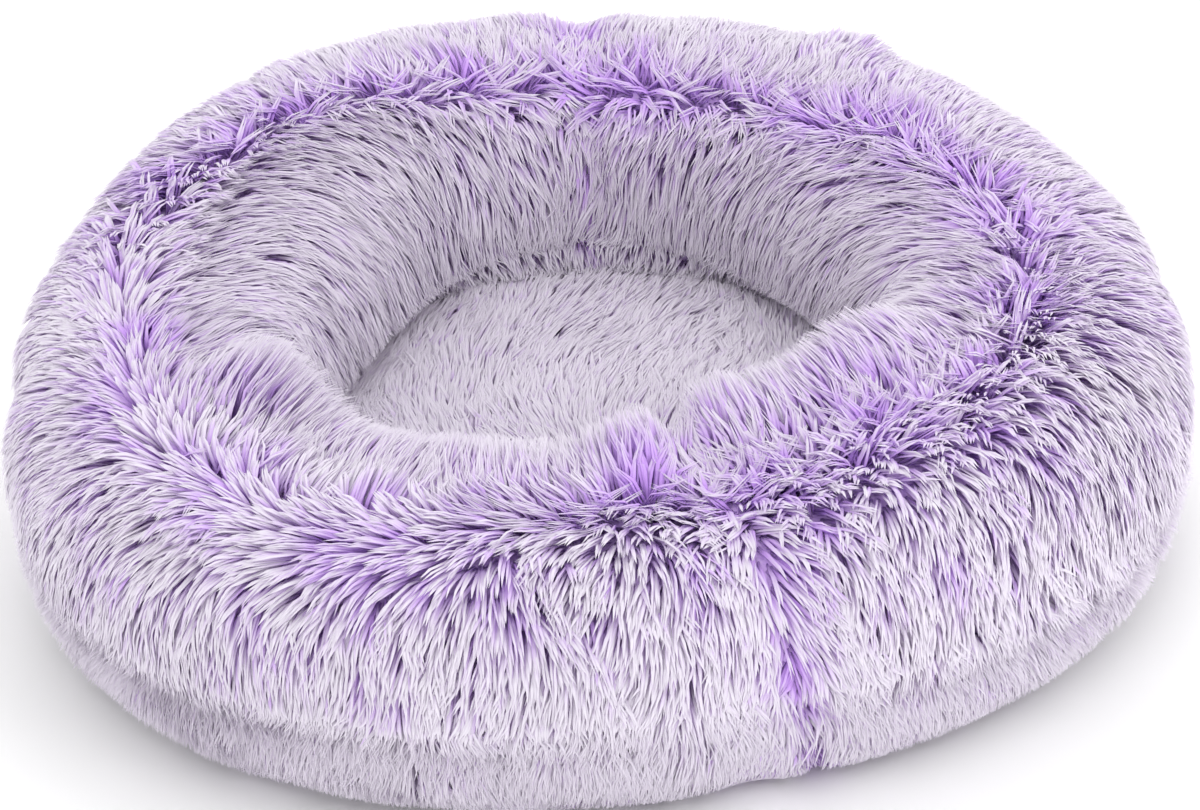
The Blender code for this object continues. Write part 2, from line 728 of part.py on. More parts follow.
def make_slider_plate(name, side, finish, collection):
    """One plate of the slider, flared at the shoulders, swept round the zip's own arc."""
    rows = []
    for share, flare in zip(SLIDER_SHARES, FLARE_SHARES):
        azimuth = SLIDER_REST + SLIDER_HALF_ANGLE * (1 - 2 * share)
        shape = SimpleNamespace(azimuth=np.array([azimuth]))
        section = plate_section(side, flare * SHOULDER_FLARE)
        points = [(ZIP_RADIUS + radial, SEAM_HEIGHT + up) for radial, up in section]
        rows.append(placed(shape, points)[0])
    return lofted(name, np.array(rows), finish, collection, ring=False)


def prism(name, outline, half_width, finish, collection):
    """A flat outline in X and Y, closed, given a width along Z."""
    bm = bmesh.new()
    verts = [bm.verts.new((x, y, -half_width)) for x, y in outline]
    face = bm.faces.new(verts)
    made = bmesh.ops.extrude_face_region(bm, geom=[face])
    top = [item for item in made["geom"] if isinstance(item, bmesh.types.BMVert)]
    bmesh.ops.translate(bm, verts=top, vec=(0, 0, 2 * half_width))
    bmesh.ops.recalc_face_normals(bm, faces=bm.faces)
    mesh = bpy.data.meshes.new(name)
    bm.to_mesh(mesh)
    bm.free()
    return link(name, mesh, finish, collection)


def place_on_slider(item, radial):
    """Stands a piece on the slider: X outwards, Y along the zip, Z up."""
    radius = ZIP_RADIUS + radial
    x = radius * math.cos(SLIDER_REST)
    y = radius * math.sin(SLIDER_REST)
    item.location = (x, y, SEAM_HEIGHT)
    item.rotation_euler = (0, 0, SLIDER_REST)


def make_slider_bridge(finish, collection):
    """The arch on the front plate that holds the pull: a half ellipse outside, another inside."""
    outer = []
    inner = []
    for step in range(BRIDGE_STEPS + 1):
        angle = math.pi * step / BRIDGE_STEPS
        across = math.cos(angle)
        rise = math.sin(angle)
        outer.append((BRIDGE_HEIGHT * rise, BRIDGE_HALF_LENGTH * across))
        inner.append(
            (
                (BRIDGE_HEIGHT - BRIDGE_THICKNESS) * rise,
                (BRIDGE_HALF_LENGTH - BRIDGE_THICKNESS) * across,
            )
        )
    feet_out = [(-BRIDGE_SINK, outer[0][1]), (-BRIDGE_SINK, outer[-1][1])]
    feet_in = [(-BRIDGE_SINK, inner[0][1]), (-BRIDGE_SINK, inner[-1][1])]
    outline = [feet_out[0]] + outer + [feet_out[1], feet_in[1]] + inner[::-1] + [feet_in[0]]
    bridge = prism("slider_bridge", outline, BRIDGE_WIDTH / 2, finish, collection)
    place_on_slider(bridge, PLATE_OUTER)
    return bridge


def pull_outline():
    """The pull seen from above: round at the pintle, thinner along its waist, thick at its grip."""
    half = PULL_THICKNESS / 2
    waist = PULL_WAIST_THICKNESS / 2
    neck = PULL_WINDOW_END + PULL_THICKNESS
    grip = PULL_LENGTH - PULL_GRIP_LENGTH
    side = [
        (half, 0.0),
        (half, PULL_WINDOW_END),
        (waist, neck),
        (waist, grip - PULL_THICKNESS),
        (half, grip),
        (half, PULL_LENGTH - half),
        (half / 2, PULL_LENGTH),
    ]
    around = []
    for step in range(1, PULL_ROUND_STEPS):
        angle = math.pi * step / PULL_ROUND_STEPS
        around.append((-half * math.cos(angle), -half * math.sin(angle)))
    return side + [(-x, y) for x, y in reversed(side)] + around


def make_pull(finish, collection, cutters):
    """The swinging pull, with a window that the slider's bridge passes through."""
    pull = prism("zip_pull", pull_outline(), PULL_WIDTH / 2, finish, collection)
    place_on_slider(pull, PLATE_OUTER + PINTLE_LIFT)
    middle = (PULL_WINDOW_START + PULL_WINDOW_END) / 2
    half_length = (PULL_WINDOW_END - PULL_WINDOW_START) / 2
    reach = PULL_THICKNESS + CUT_OVERRUN
    corners = [(-reach, -half_length), (reach, -half_length), (reach, half_length), (-reach, half_length)]
    corners = [(x, y + middle) for x, y in corners]
    window = prism("pull_window", corners, PULL_WINDOW_WIDTH / 2, finish, collection)
    place_on_slider(window, PLATE_OUTER + PINTLE_LIFT)
    cut(pull, window, cutters)
    return pull


def make_slider(finish, collection, cutters):
    """The slider's front plate with its bridge, its back plate, and the pull."""
    front = make_slider_plate("zip_slider_front", 1, finish, collection)
    union(front, make_slider_bridge(finish, collection), cutters)
    make_slider_plate("zip_slider_back", -1, finish, collection)
    make_pull(finish, collection, cutters)


def main():
    clear_scene()
    parts = new_collection(COLLECTION_NAME)
    cutters = new_collection(CUTTER_COLLECTION_NAME)
    finishes = make_materials()
    make_base_panel(finishes.grip, parts, cutters)
    make_base_bag(finishes.lining, finishes.fill, parts)
    make_sleeping_surface(finishes.fur, parts)
    make_base_border(finishes.fur, parts)
    make_divider(finishes.lining, parts)
    make_bolster_liner(finishes.lining, parts)
    make_bolster_fill(finishes.fill, parts)
    make_bolster_panels(finishes.fur, parts)
    make_zip_tapes(finishes.tape, parts)
    make_zip_teeth(finishes.teeth, parts)
    make_zip_stops(finishes.teeth, parts)
    make_slider(finishes.metal, parts, cutters)


main()
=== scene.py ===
"""Dresses the round pet bed: long frosted fur on its ring, border and sleeping surface, its zip and its base.

Every lock of the fur is a small closed blade. It is rooted on a woven backing, follows the way the pile
is combed there, and leans together with the blades of its own clump. Lengths are in metres.
"""

import logging
import math
from collections.abc import Callable
from dataclasses import dataclass, field
from enum import Enum

import bpy
import numpy as np
from mathutils import Matrix, Vector

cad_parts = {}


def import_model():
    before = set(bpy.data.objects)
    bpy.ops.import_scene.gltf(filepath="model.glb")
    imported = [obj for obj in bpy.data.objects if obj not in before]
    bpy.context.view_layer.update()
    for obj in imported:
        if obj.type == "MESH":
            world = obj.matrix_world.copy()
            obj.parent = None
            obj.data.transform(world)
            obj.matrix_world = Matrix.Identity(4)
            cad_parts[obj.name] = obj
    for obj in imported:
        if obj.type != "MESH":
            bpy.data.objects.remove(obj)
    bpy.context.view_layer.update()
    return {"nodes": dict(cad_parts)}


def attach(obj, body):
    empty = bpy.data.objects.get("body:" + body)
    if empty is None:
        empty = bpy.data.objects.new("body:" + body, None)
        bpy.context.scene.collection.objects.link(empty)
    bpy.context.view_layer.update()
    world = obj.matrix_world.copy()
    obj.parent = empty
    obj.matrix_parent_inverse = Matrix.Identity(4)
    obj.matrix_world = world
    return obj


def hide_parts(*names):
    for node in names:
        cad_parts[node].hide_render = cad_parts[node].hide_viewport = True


LOG = logging.getLogger("round_pet_bed")
PHOTO_WIDTH = 1200
PHOTO_HEIGHT = 810
UV_NAME = "OFBake"
TAPE_UV = "tape_metres"
TAU = math.tau
# The least lengths that anything is divided by
TINY = 1e-9
SHORTEST_STRETCH = 1e-6
# The radius of the small flat caps where a turned form meets its axis
POLE = 0.002
# The root of x^3 = x + 1, and how far apart in the sequence two seeds start
PLASTIC_NUMBER = 1.32471795724474602596
SEED_STRIDE = 977
# The part of its tile's height that a blade's map leaves free at each end, and the part that it takes up
TILE_MARGIN = 0.04
TILE_SPAN = 1.0 - 2 * TILE_MARGIN

Array = np.ndarray


class Slot(Enum):
    """Names of material slots."""

    FUR = "long_pile_fur"
    LINING = "woven_lining"
    FILL = "fibre_fill"
    GRIP = "grip_cloth"
    TAPE = "zip_tape"
    TEETH = "zip_teeth"
    METAL = "zip_metal"


class Side(Enum):
    """The two rows of the zip."""

    UPPER = 1
    LOWER = -1


def smooth_step(x: Array) -> Array:
    """Rises from 0 to 1 with level ends: 3x^2 - 2x^3 on x held between 0 and 1.

    Args:
        x: Any values.

    Returns:
        The eased values.
    """
    x = np.clip(x, 0.0, 1.0)
    return x * x * (3 - 2 * x)


def angle_from(azimuth: Array, centre: float) -> Array:
    """The signed turn from a direction, from -pi to pi.

    Args:
        azimuth: Azimuths in radians.
        centre: The direction to measure from, in radians.

    Returns:
        The turns in radians.
    """
    return (azimuth - centre + math.pi) % TAU - math.pi


def bump_at(azimuth: Array, centre_deg: float, width_deg: float) -> Array:
    """A bell of height 1 round one azimuth: exp(-(turn / width)^2).

    Args:
        azimuth: Azimuths in radians.
        centre_deg: The bell's middle, in degrees.
        width_deg: The turn at which it has fallen to 1/e, in degrees.

    Returns:
        Values from 0 to 1.
    """
    return bell(angle_from(azimuth, math.radians(centre_deg)), math.radians(width_deg))


def bell(x: Array, width: Array) -> Array:
    """A bell of height 1 round 0: exp(-(x / width)^2)."""
    return np.exp(-((x / width) ** 2))


def unit(vectors: Array) -> Array:
    """The vectors along the last axis, each divided by its length."""
    return vectors / np.maximum(np.linalg.norm(vectors, axis=-1, keepdims=True), TINY)


def about_axis(radius: Array, azimuth: Array, height: Array) -> Array:
    """Points about the vertical axis: (r cos a, r sin a, z)."""
    x = radius * np.cos(azimuth)
    return np.stack([x, radius * np.sin(azimuth), height + 0 * x], axis=-1)


def spread_points(count: int, seed: int) -> Array:
    """Evenly spread points in the unit square: multiples of the plastic number's powers, modulo 1.

    Args:
        count: How many points.
        seed: Where the sequence starts.

    Returns:
        An array of count rows and 2 columns.
    """
    steps = np.array([1 / PLASTIC_NUMBER, 1 / PLASTIC_NUMBER**2])
    index = np.arange(count)[:, None] + 1.0 + seed * SEED_STRIDE
    return (index * steps) % 1.0


@dataclass
class Ripple:
    """A smooth random field in space: a sum of sine waves with random directions and phases."""

    wavelength: float
    seed: int
    waves: int = 10

    def at(self, points: Array) -> Array:
        """The field's value, about -1 to 1.

        Args:
            points: Points in space, with three columns.

        Returns:
            One value for each point.
        """
        rng = np.random.default_rng(self.seed)
        direction = rng.normal(size=(self.waves, 3))
        direction /= np.linalg.norm(direction, axis=1, keepdims=True)
        rate = TAU / self.wavelength * rng.uniform(0.6, 1.5, size=(self.waves, 1))
        phase = rng.uniform(0, TAU, size=self.waves)
        return np.sin(points @ (direction * rate).T + phase).sum(axis=1) / math.sqrt(self.waves)


@dataclass(frozen=True)
class RingForm:
    """The stuffed ring as the CAD solids have it: a superellipse section whose centre, width and crest
    vary with the azimuth, drawn in to the seams above and below. Its backing lies a pile's depth inside
    the surface that the pile's tips reach."""

    ring_radius: float = 0.215
    half_width: float = 0.085
    crest: float = 0.150
    widest: float = 0.066
    hem_tuck: float = 0.007
    pile: float = 0.013
    power: float = 2.8
    # How the centre line and the crest depart from level circles: a length, and the azimuth of its peak
    lobe_two: tuple = (0.006, math.radians(70))
    lobe_three: tuple = (0.009, math.radians(-23))
    crest_tilt: tuple = (0.010, math.radians(95))
    crest_oval: tuple = (0.006, math.radians(152))
    # How the crest and the width swell between seams, and how the pile is drawn in at them
    swell: float = 0.007
    draw: float = 0.007
    draw_width: float = 0.014
    seams_deg: tuple = (0.0, 90.0, 190.0, 284.0)
    seam_height: float = 0.034
    zip_radius: float = 0.268
    lining_radius: float = 0.2645
    foot_radius: float = 0.150
    foot_height: float = 0.046
    foot_pile_radius: float = 0.134
    foot_pile_height: float = 0.055
    tape_top: float = 0.0459
    hem_radius: float = 0.247
    channel_half: float = 0.0086
    channel_half_angle: float = math.radians(33.8)
    channel_ramp: float = math.radians(4.0)

    def seam_spans(self) -> list:
        """The azimuths at which each panel starts and ends, in radians."""
        starts = [math.radians(a) for a in self.seams_deg]
        ends = starts[1:] + [starts[0] + TAU]
        return list(zip(starts, ends))

    def share(self, azimuth: Array) -> Array:
        """How far along its panel each azimuth lies.

        Args:
            azimuth: Azimuths in radians.

        Returns:
            Shares from 0 to 1.
        """
        found = np.zeros_like(azimuth)
        for start, end in self.seam_spans():
            turned = (azimuth - start) % TAU
            inside = turned < end - start
            found = np.where(inside, turned / (end - start), found)
        return found

    def to_seam(self, azimuth: Array) -> Array:
        """The arc from each azimuth to the nearest radial seam, in metres."""
        turns = [np.abs(angle_from(azimuth, math.radians(a))) for a in self.seams_deg]
        return np.min(turns, axis=0) * self.ring_radius

    def section(self, azimuth: Array, over_pile: bool = False) -> tuple:
        """The centre radius, the half width and the crest height at each azimuth.

        Args:
            azimuth: Azimuths in radians.
            over_pile: Whether the sizes are over the pile, and not those of the backing.

        Returns:
            Three arrays in metres.
        """
        swell = np.sin(math.pi * self.share(azimuth)) ** 2 - 0.5
        centre = self.ring_radius + self.lobe_two[0] * np.cos(2 * (azimuth - self.lobe_two[1]))
        centre = centre + self.lobe_three[0] * np.cos(3 * (azimuth - self.lobe_three[1]))
        crest = self.crest + self.crest_tilt[0] * np.cos(azimuth - self.crest_tilt[1])
        crest = crest + self.crest_oval[0] * np.cos(2 * (azimuth - self.crest_oval[1]))
        half = self.half_width + self.swell * swell / 2
        crest = crest + self.swell * swell
        inset = self.pile
        if over_pile:
            inset = self.draw * bell(self.to_seam(azimuth), self.draw_width)
        return centre, half - inset, crest - inset

    def in_channel(self, azimuth: Array) -> Array:
        """1 along the zip's open channel and 0 away from it."""
        away = np.abs(angle_from(azimuth, math.pi / 2))
        return np.clip((self.channel_half_angle + self.channel_ramp - away) / self.channel_ramp, 0, 1)

    def crown(self, azimuth: Array, angle: Array, over_pile: bool) -> tuple:
        """The upper half: centre + half cos^(2/p), widest + rise sin^(2/p).

        Args:
            azimuth: Azimuths in radians.
            angle: Angles round the section, 0 outside and pi inside.
            over_pile: Whether it is the pile's surface, and not the backing.

        Returns:
            Radii and heights.
        """
        centre, half, crest = self.section(azimuth, over_pile)
        power = 2 / self.power
        across = np.sign(np.cos(angle)) * np.abs(np.cos(angle)) ** power
        rise = np.abs(np.sin(angle)) ** power
        return centre + half * across, self.widest + (crest - self.widest) * rise

    def outer_wall(self, azimuth: Array, height: Array) -> Array:
        """The backing's outer side: a quarter ellipse up to the seam, then eased out to the widest point.

        Args:
            azimuth: Azimuths in radians.
            height: Heights in metres.

        Returns:
            Radii in metres.
        """
        centre, half, _ = self.section(azimuth)
        share = np.clip(height / self.seam_height, 0, 1)
        border = self.hem_radius + (self.lining_radius - self.hem_radius) * np.sqrt(1 - (1 - share) ** 2)
        zip_room = (self.zip_radius - self.lining_radius) * self.in_channel(azimuth)
        seam = self.lining_radius + zip_room
        rise = smooth_step((height - self.tape_top) / (self.widest - self.tape_top))
        return np.where(height < self.seam_height, border, seam + (centre + half - seam) * rise)

    def outer_pile(self, azimuth: Array, height: Array) -> Array:
        """The pile's outer side: the section's superellipse, which would close under the floor.

        Args:
            azimuth: Azimuths in radians.
            height: Heights in metres.

        Returns:
            Radii in metres.
        """
        centre, half, _ = self.section(azimuth, over_pile=True)
        drop = np.clip((self.widest - height) / (self.widest + self.hem_tuck), 0, 1)
        return centre + half * (1 - drop**self.power) ** (1 / self.power)

    def inner_wall(self, azimuth: Array, share: Array, over_pile: bool) -> tuple:
        """The inner side from its widest point, at share 0, down to its foot, at share 1.

        Args:
            azimuth: Azimuths in radians.
            share: How far down each point lies.
            over_pile: Whether it is the pile's surface, and not the backing.

        Returns:
            Radii and heights.
        """
        centre, half, _ = self.section(azimuth, over_pile)
        foot = self.foot_pile_radius if over_pile else self.foot_radius
        low = self.foot_pile_height if over_pile else self.foot_height
        rise = smooth_step(1 - share)
        return foot + (centre - half - foot) * rise, self.widest + (low - self.widest) * share


@dataclass
class Sheet:
    """A surface as a grid of points over two parameters, with its normals and its stretch along each.

    The first parameter can close on itself. A point between grid points is a mix of the four round it.
    """

    first: Array
    second: Array
    points: Array
    closed: bool
    normals: Array = field(init=False)
    along_first: Array = field(init=False)
    along_second: Array = field(init=False)

    def __post_init__(self) -> None:
        """Works out the derivatives by central differences and the normals as their cross product."""
        grid = self.points
        if self.closed:
            grid = np.concatenate([grid[-2:-1], grid, grid[1:2]], axis=0)
            gap = 2 * (self.first[1] - self.first[0])
            self.along_first = (grid[2:] - grid[:-2]) / gap
        else:
            self.along_first = np.gradient(grid, self.first, axis=0)
        self.along_second = np.gradient(self.points, self.second, axis=1)
        self.normals = unit(np.cross(self.along_first, self.along_second))

    def face_out(self, outward: Array) -> None:
        """Turns every normal round if they point against the given directions on average."""
        if float((self.normals * outward).sum()) < 0:
            self.normals = -self.normals

    def mix(self, values: Array, a: Array, b: Array) -> Array:
        """Reads grid values at places between the grid points, by bilinear mixing.

        Args:
            values: A value or a vector for each grid point.
            a: First parameters.
            b: Second parameters.

        Returns:
            The values at the places.
        """
        span = self.first[-1] - self.first[0]
        if self.closed:
            a = (a - self.first[0]) % span + self.first[0]
        rows = np.clip((a - self.first[0]) / span * (len(self.first) - 1), 0, len(self.first) - 1.001)
        columns = np.interp(b, self.second, np.arange(len(self.second)))
        columns = np.clip(columns, 0, len(self.second) - 1.001)
        i, j = rows.astype(int), columns.astype(int)
        u, v = (rows - i)[:, None], (columns - j)[:, None]
        low = values[i, j] * (1 - u) + values[i + 1, j] * u
        high = values[i, j + 1] * (1 - u) + values[i + 1, j + 1] * u
        return low * (1 - v) + high * v

    def place(self, a: Array, b: Array) -> tuple:
        """The point, the unit normal and the stretches at each pair of parameters.

        Args:
            a: First parameters.
            b: Second parameters.

        Returns:
            Points, normals, first stretches and second stretches.
        """
        point = self.mix(self.points, a, b)
        normal = unit(self.mix(self.normals, a, b))
        one = self.mix(self.along_first, a, b)
        two = self.mix(self.along_second, a, b)
        one_length = np.maximum(np.linalg.norm(one, axis=1), SHORTEST_STRETCH)
        two_length = np.maximum(np.linalg.norm(two, axis=1), SHORTEST_STRETCH)
        return point, normal, one_length, two_length

    def scatter(self, count: int, seed: int, first_span: tuple, second_span: tuple) -> tuple:
        """Spreads points evenly by area over a part of the sheet.

        Args:
            count: How many points.
            seed: Where the spread starts.
            first_span: The lowest and highest first parameter.
            second_span: The lowest and highest second parameter.

        Returns:
            The first and second parameters of the points.
        """
        spread = spread_points(count, seed)
        a = first_span[0] + spread[:, 0] * (first_span[1] - first_span[0])
        area = np.linalg.norm(np.cross(self.along_first, self.along_second), axis=-1).mean(axis=0)
        inside = (self.second >= second_span[0]) & (self.second <= second_span[1])
        cumulative = np.cumsum(np.where(inside, area * np.gradient(self.second), 0.0))
        b = np.interp(spread[:, 1] * cumulative[-1], cumulative, self.second)
        return a, b


def grid_quads(rows: int, columns: int, closed: bool = True) -> Array:
    """The quads of a grid of vertices numbered along its rows.

    Args:
        rows: Rows of vertices.
        columns: Vertices in each row.
        closed: Whether each row closes on itself.

    Returns:
        Four vertex numbers for each quad.
    """
    i, j = np.meshgrid(np.arange(rows - 1), np.arange(columns if closed else columns - 1), indexing="ij")
    here, above, k = i * columns, (i + 1) * columns, (j + 1) % columns
    return np.stack([here + j, here + k, above + k, above + j], axis=-1).reshape(-1, 4)


def mesh_piece(name: str, points: Array, faces: list, smooth: bool = True) -> bpy.types.Object:
    """A mesh object at the origin.

    Args:
        name: The piece's name.
        points: Vertex positions.
        faces: Arrays of faces, each array with its own number of corners.
        smooth: Whether it is shaded smooth.

    Returns:
        The new object, linked to the scene.
    """
    corners = np.concatenate([np.asarray(f, np.int32).reshape(-1) for f in faces])
    counts = np.concatenate([np.full(len(f), np.shape(f)[1], np.int32) for f in faces])
    starts = np.concatenate([[0], np.cumsum(counts)[:-1]]).astype(np.int32)
    mesh = bpy.data.meshes.new(name)
    mesh.vertices.add(len(points))
    mesh.vertices.foreach_set("co", np.asarray(points, np.float32).reshape(-1))
    mesh.loops.add(len(corners))
    mesh.loops.foreach_set("vertex_index", corners)
    mesh.polygons.add(len(counts))
    mesh.polygons.foreach_set("loop_start", starts)
    mesh.update(calc_edges=True)
    mesh.validate()
    if smooth:
        mesh.shade_smooth()
    piece = bpy.data.objects.new(name, mesh)
    bpy.context.scene.collection.objects.link(piece)
    return piece


def full_turn(steps: int) -> Array:
    """Even azimuths once round, in radians, without the last one, which is the first again."""
    return np.linspace(0, TAU, steps + 1)[:-1]


def capped_piece(name: str, points: Array) -> bpy.types.Object:
    """A closed form from a grid of rings, with a flat cap on the first ring and on the last.

    Args:
        name: The piece's name.
        points: A row of points for each ring.

    Returns:
        The new object.
    """
    rings, sides = points.shape[:2]
    first = np.arange(sides)[None, :]
    last = first[:, ::-1] + (rings - 1) * sides
    return mesh_piece(name, points.reshape(-1, 3), [grid_quads(rings, sides)[:, ::-1], first, last])


def looped_piece(name: str, points: Array) -> bpy.types.Object:
    """A closed form from a grid of loops, whose last loop joins the first.

    Args:
        name: The piece's name.
        points: A row of points for each loop.

    Returns:
        The new object.
    """
    rings, sides = points.shape[:2]
    quads = grid_quads(rings + 1, sides)[:, ::-1] % (rings * sides)
    return mesh_piece(name, points.reshape(-1, 3), [quads])


def strip_cap(size: int) -> Array:
    """Quads that close the end of a thin shell, between the two halves of its loop of points."""
    j = np.arange(size // 2 - 1)
    return np.stack([j, j + 1, size - 2 - j, size - 1 - j], axis=-1)


def turned(name: str, corners: list, spacing: float, steps: int) -> bpy.types.Object:
    """A closed form turned about the vertical axis, with a small flat cap at each end of its profile.

    Args:
        name: The piece's name.
        corners: Pairs of a radius and a height, from one end near the axis round to the other.
        spacing: The distance between points of the profile.
        steps: How many points each ring has.

    Returns:
        The new object.
    """
    profile = fine_profile(corners, spacing)
    return capped_piece(name, about_axis(profile[:, :1], full_turn(steps)[None, :], profile[:, 1:]))


def fine_profile(corners: list, spacing: float) -> Array:
    """Points at an even spacing along a line through corners, which it keeps.

    Args:
        corners: Pairs of a radius and a height.
        spacing: The distance between points.

    Returns:
        Rows of a radius and a height.
    """
    rows = []
    for start, end in zip(corners[:-1], corners[1:]):
        count = max(1, round(math.dist(start, end) / spacing))
        rows.append(np.linspace(start, end, count + 1)[:-1])
    return np.concatenate(rows + [np.array([corners[-1]])])


def drawn_in(line: Array, depth: Array) -> Array:
    """Section lines moved square to themselves, inwards by a depth."""
    ahead = unit(np.gradient(line, axis=1))
    return line + np.stack([-ahead[..., 1], ahead[..., 0]], axis=-1) * depth


def beads(
    name: str, centres: Array, along: Array, out: Array, length: float, width: float
) -> bpy.types.Object:
    """Short plump threads lying on a surface, each a six-sided spindle.

    At a share t from -1 to 1 of its half length, the spindle's radius is width/2 sqrt(1 - 0.9 t^2), and it
    bows out from the surface by width/4 (1 - t^2).

    Args:
        name: The piece's name.
        centres: Their middles.
        along: Unit directions that they run in.
        out: Unit directions away from the surface.
        length: Their length.
        width: Their thickness.

    Returns:
        The new object.
    """
    share = np.array([-1.0, -0.6, 0.0, 0.6, 1.0])
    turn = full_turn(6)
    across = np.cross(along, out)
    radius = width / 2 * np.sqrt(1 - 0.9 * share**2)
    spine = centres[:, None] + along[:, None] * (share[:, None] * length / 2)
    spine = spine + out[:, None] * ((1 - share**2)[:, None] * width / 4)
    ring = across[:, None, None] * np.cos(turn)[:, None] + out[:, None, None] * np.sin(turn)[:, None]
    points = spine[:, :, None] + ring * radius[:, None, None]
    rings, sides = len(share), len(turn)
    each = rings * sides
    start = (np.arange(len(centres)) * each)[:, None, None]
    quads = grid_quads(rings, sides)[None] + start
    first = np.arange(sides)[::-1] + start
    last = np.arange(sides) + (rings - 1) * sides + start
    faces = [quads.reshape(-1, 4), first.reshape(-1, sides), last.reshape(-1, sides)]
    return mesh_piece(name, points.reshape(-1, 3), faces)


def domes(name: str, centres: Array, radius: float, height: float) -> bpy.types.Object:
    """Low round dots hanging under a level surface: at a share t of the radius, z drops by h sqrt(1 - t^2).

    Args:
        name: The piece's name.
        centres: Where they are, with the height of the surface.
        radius: Their radius.
        height: How far they stand out.

    Returns:
        The new object.
    """
    share = np.array([1.0, 0.86, 0.5])
    turn = full_turn(10)
    ring = about_axis(radius, turn, 0.0)
    local = share[:, None, None] * ring
    local[..., 2] -= height * np.sqrt(1 - share**2)[:, None]
    local = np.concatenate([local.reshape(-1, 3), [[0, 0, -height]]])
    points = centres[:, None] + local[None]
    sides, rings = len(turn), len(share)
    start = (np.arange(len(centres)) * len(local))[:, None, None]
    quads = grid_quads(rings, sides)[:, ::-1][None] + start
    j = np.arange(sides)
    low = (rings - 1) * sides
    tip = np.stack([j + low, 0 * j + rings * sides, (j + 1) % sides + low], axis=-1)
    faces = [part.reshape(-1, part.shape[-1]) for part in (quads, tip + start, j + start)]
    return mesh_piece(name, points.reshape(-1, 3), faces)


def give(piece: bpy.types.Object, material: bpy.types.Material, body: str = "bed") -> None:
    """Gives a piece its material and the body that it rides on.

    Args:
        piece: The piece.
        material: Its finish.
        body: The CAD body's name.
    """
    piece.data.materials.clear()
    piece.data.materials.append(material)
    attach(piece, body)
    LOG.info("%s: %d faces", piece.name, len(piece.data.polygons))


class NodeSheet:
    """Short ways to make and join the shader nodes of one material."""

    def __init__(self, name: str) -> None:
        """Starts a material with one Principled shader."""
        self.material = bpy.data.materials.new(name)
        self.material.use_nodes = True
        self.tree = self.material.node_tree
        self.shader = self.tree.nodes["Principled BSDF"]

    def add(self, kind: str, values: dict | None = None, **settings: object) -> bpy.types.Node:
        """Adds a node.

        Args:
            kind: The node's type.
            values: Values for its input sockets, by name or number.
            settings: Values for its own settings.

        Returns:
            The node.
        """
        node = self.tree.nodes.new(kind)
        for key, value in settings.items():
            setattr(node, key, value)
        for key, value in (values or {}).items():
            node.inputs[key].default_value = value
        return node

    def join(self, output: bpy.types.NodeSocket, entry: bpy.types.NodeSocket) -> None:
        """Joins two sockets."""
        self.tree.links.new(output, entry)

    def place(self) -> bpy.types.NodeSocket:
        """The piece's own coordinates, as a socket."""
        return self.add("ShaderNodeTexCoord").outputs["Object"]

    def split(self, vector: bpy.types.NodeSocket) -> bpy.types.NodeSocket:
        """The sockets of a vector's three parts."""
        node = self.add("ShaderNodeSeparateXYZ")
        self.join(vector, node.inputs[0])
        return node.outputs

    def vector(self, x: bpy.types.NodeSocket, y: bpy.types.NodeSocket) -> bpy.types.NodeSocket:
        """A vector of two sockets and 0."""
        node = self.add("ShaderNodeCombineXYZ")
        self.join(x, node.inputs[0])
        self.join(y, node.inputs[1])
        return node.outputs[0]

    def noise(self, vector: bpy.types.NodeSocket, **values: float) -> bpy.types.NodeSocket:
        """A noise texture over a vector, with values for its other inputs."""
        node = self.add("ShaderNodeTexNoise", values)
        self.join(vector, node.inputs["Vector"])
        return node.outputs["Fac"]

    def dress(self, colour: bpy.types.NodeSocket, values: dict) -> bpy.types.Material:
        """Gives the shader its colour and its other inputs.

        Args:
            colour: The colour's socket.
            values: Values for the shader's input sockets, by name.

        Returns:
            The finished material.
        """
        self.join(colour, self.shader.inputs["Base Color"])
        for key, value in values.items():
            self.shader.inputs[key].default_value = value
        return self.material

    def maths(
        self, operation: str, one: object, two: object = 0.0, three: object = 0.0
    ) -> bpy.types.NodeSocket:
        """A Math node on sockets or numbers.

        Args:
            operation: The Math node's operation.
            one: A socket or a number.
            two: A socket or a number.
            three: A socket or a number.

        Returns:
            The result's socket.
        """
        node = self.add("ShaderNodeMath", operation=operation)
        for index, given in enumerate((one, two, three)):
            if isinstance(given, bpy.types.NodeSocket):
                self.join(given, node.inputs[index])
            else:
                node.inputs[index].default_value = given
        return node.outputs[0]

    def ramp(self, factor: bpy.types.NodeSocket, stops: list) -> bpy.types.NodeSocket:
        """A colour ramp.

        Args:
            factor: The socket that drives it.
            stops: Pairs of a position and a colour.

        Returns:
            The colour's socket.
        """
        node = self.add("ShaderNodeValToRGB")
        elements = node.color_ramp.elements
        while len(elements) > 1:
            elements.remove(elements[-1])
        elements[0].position, elements[0].color = stops[0][0], (*stops[0][1], 1.0)
        for position, colour in stops[1:]:
            elements.new(position).color = (*colour, 1.0)
        self.join(factor, node.inputs[0])
        return node.outputs[0]

    def bump(self, height: bpy.types.NodeSocket, strength: float, distance: float) -> None:
        """Bends the shader's normal by a height.

        Args:
            height: The height's socket.
            strength: From 0 to 1.
            distance: How tall a height of 1 is, in metres.
        """
        node = self.add("ShaderNodeBump", {"Strength": strength, "Distance": distance})
        self.join(height, node.inputs["Height"])
        self.join(node.outputs["Normal"], self.shader.inputs["Normal"])


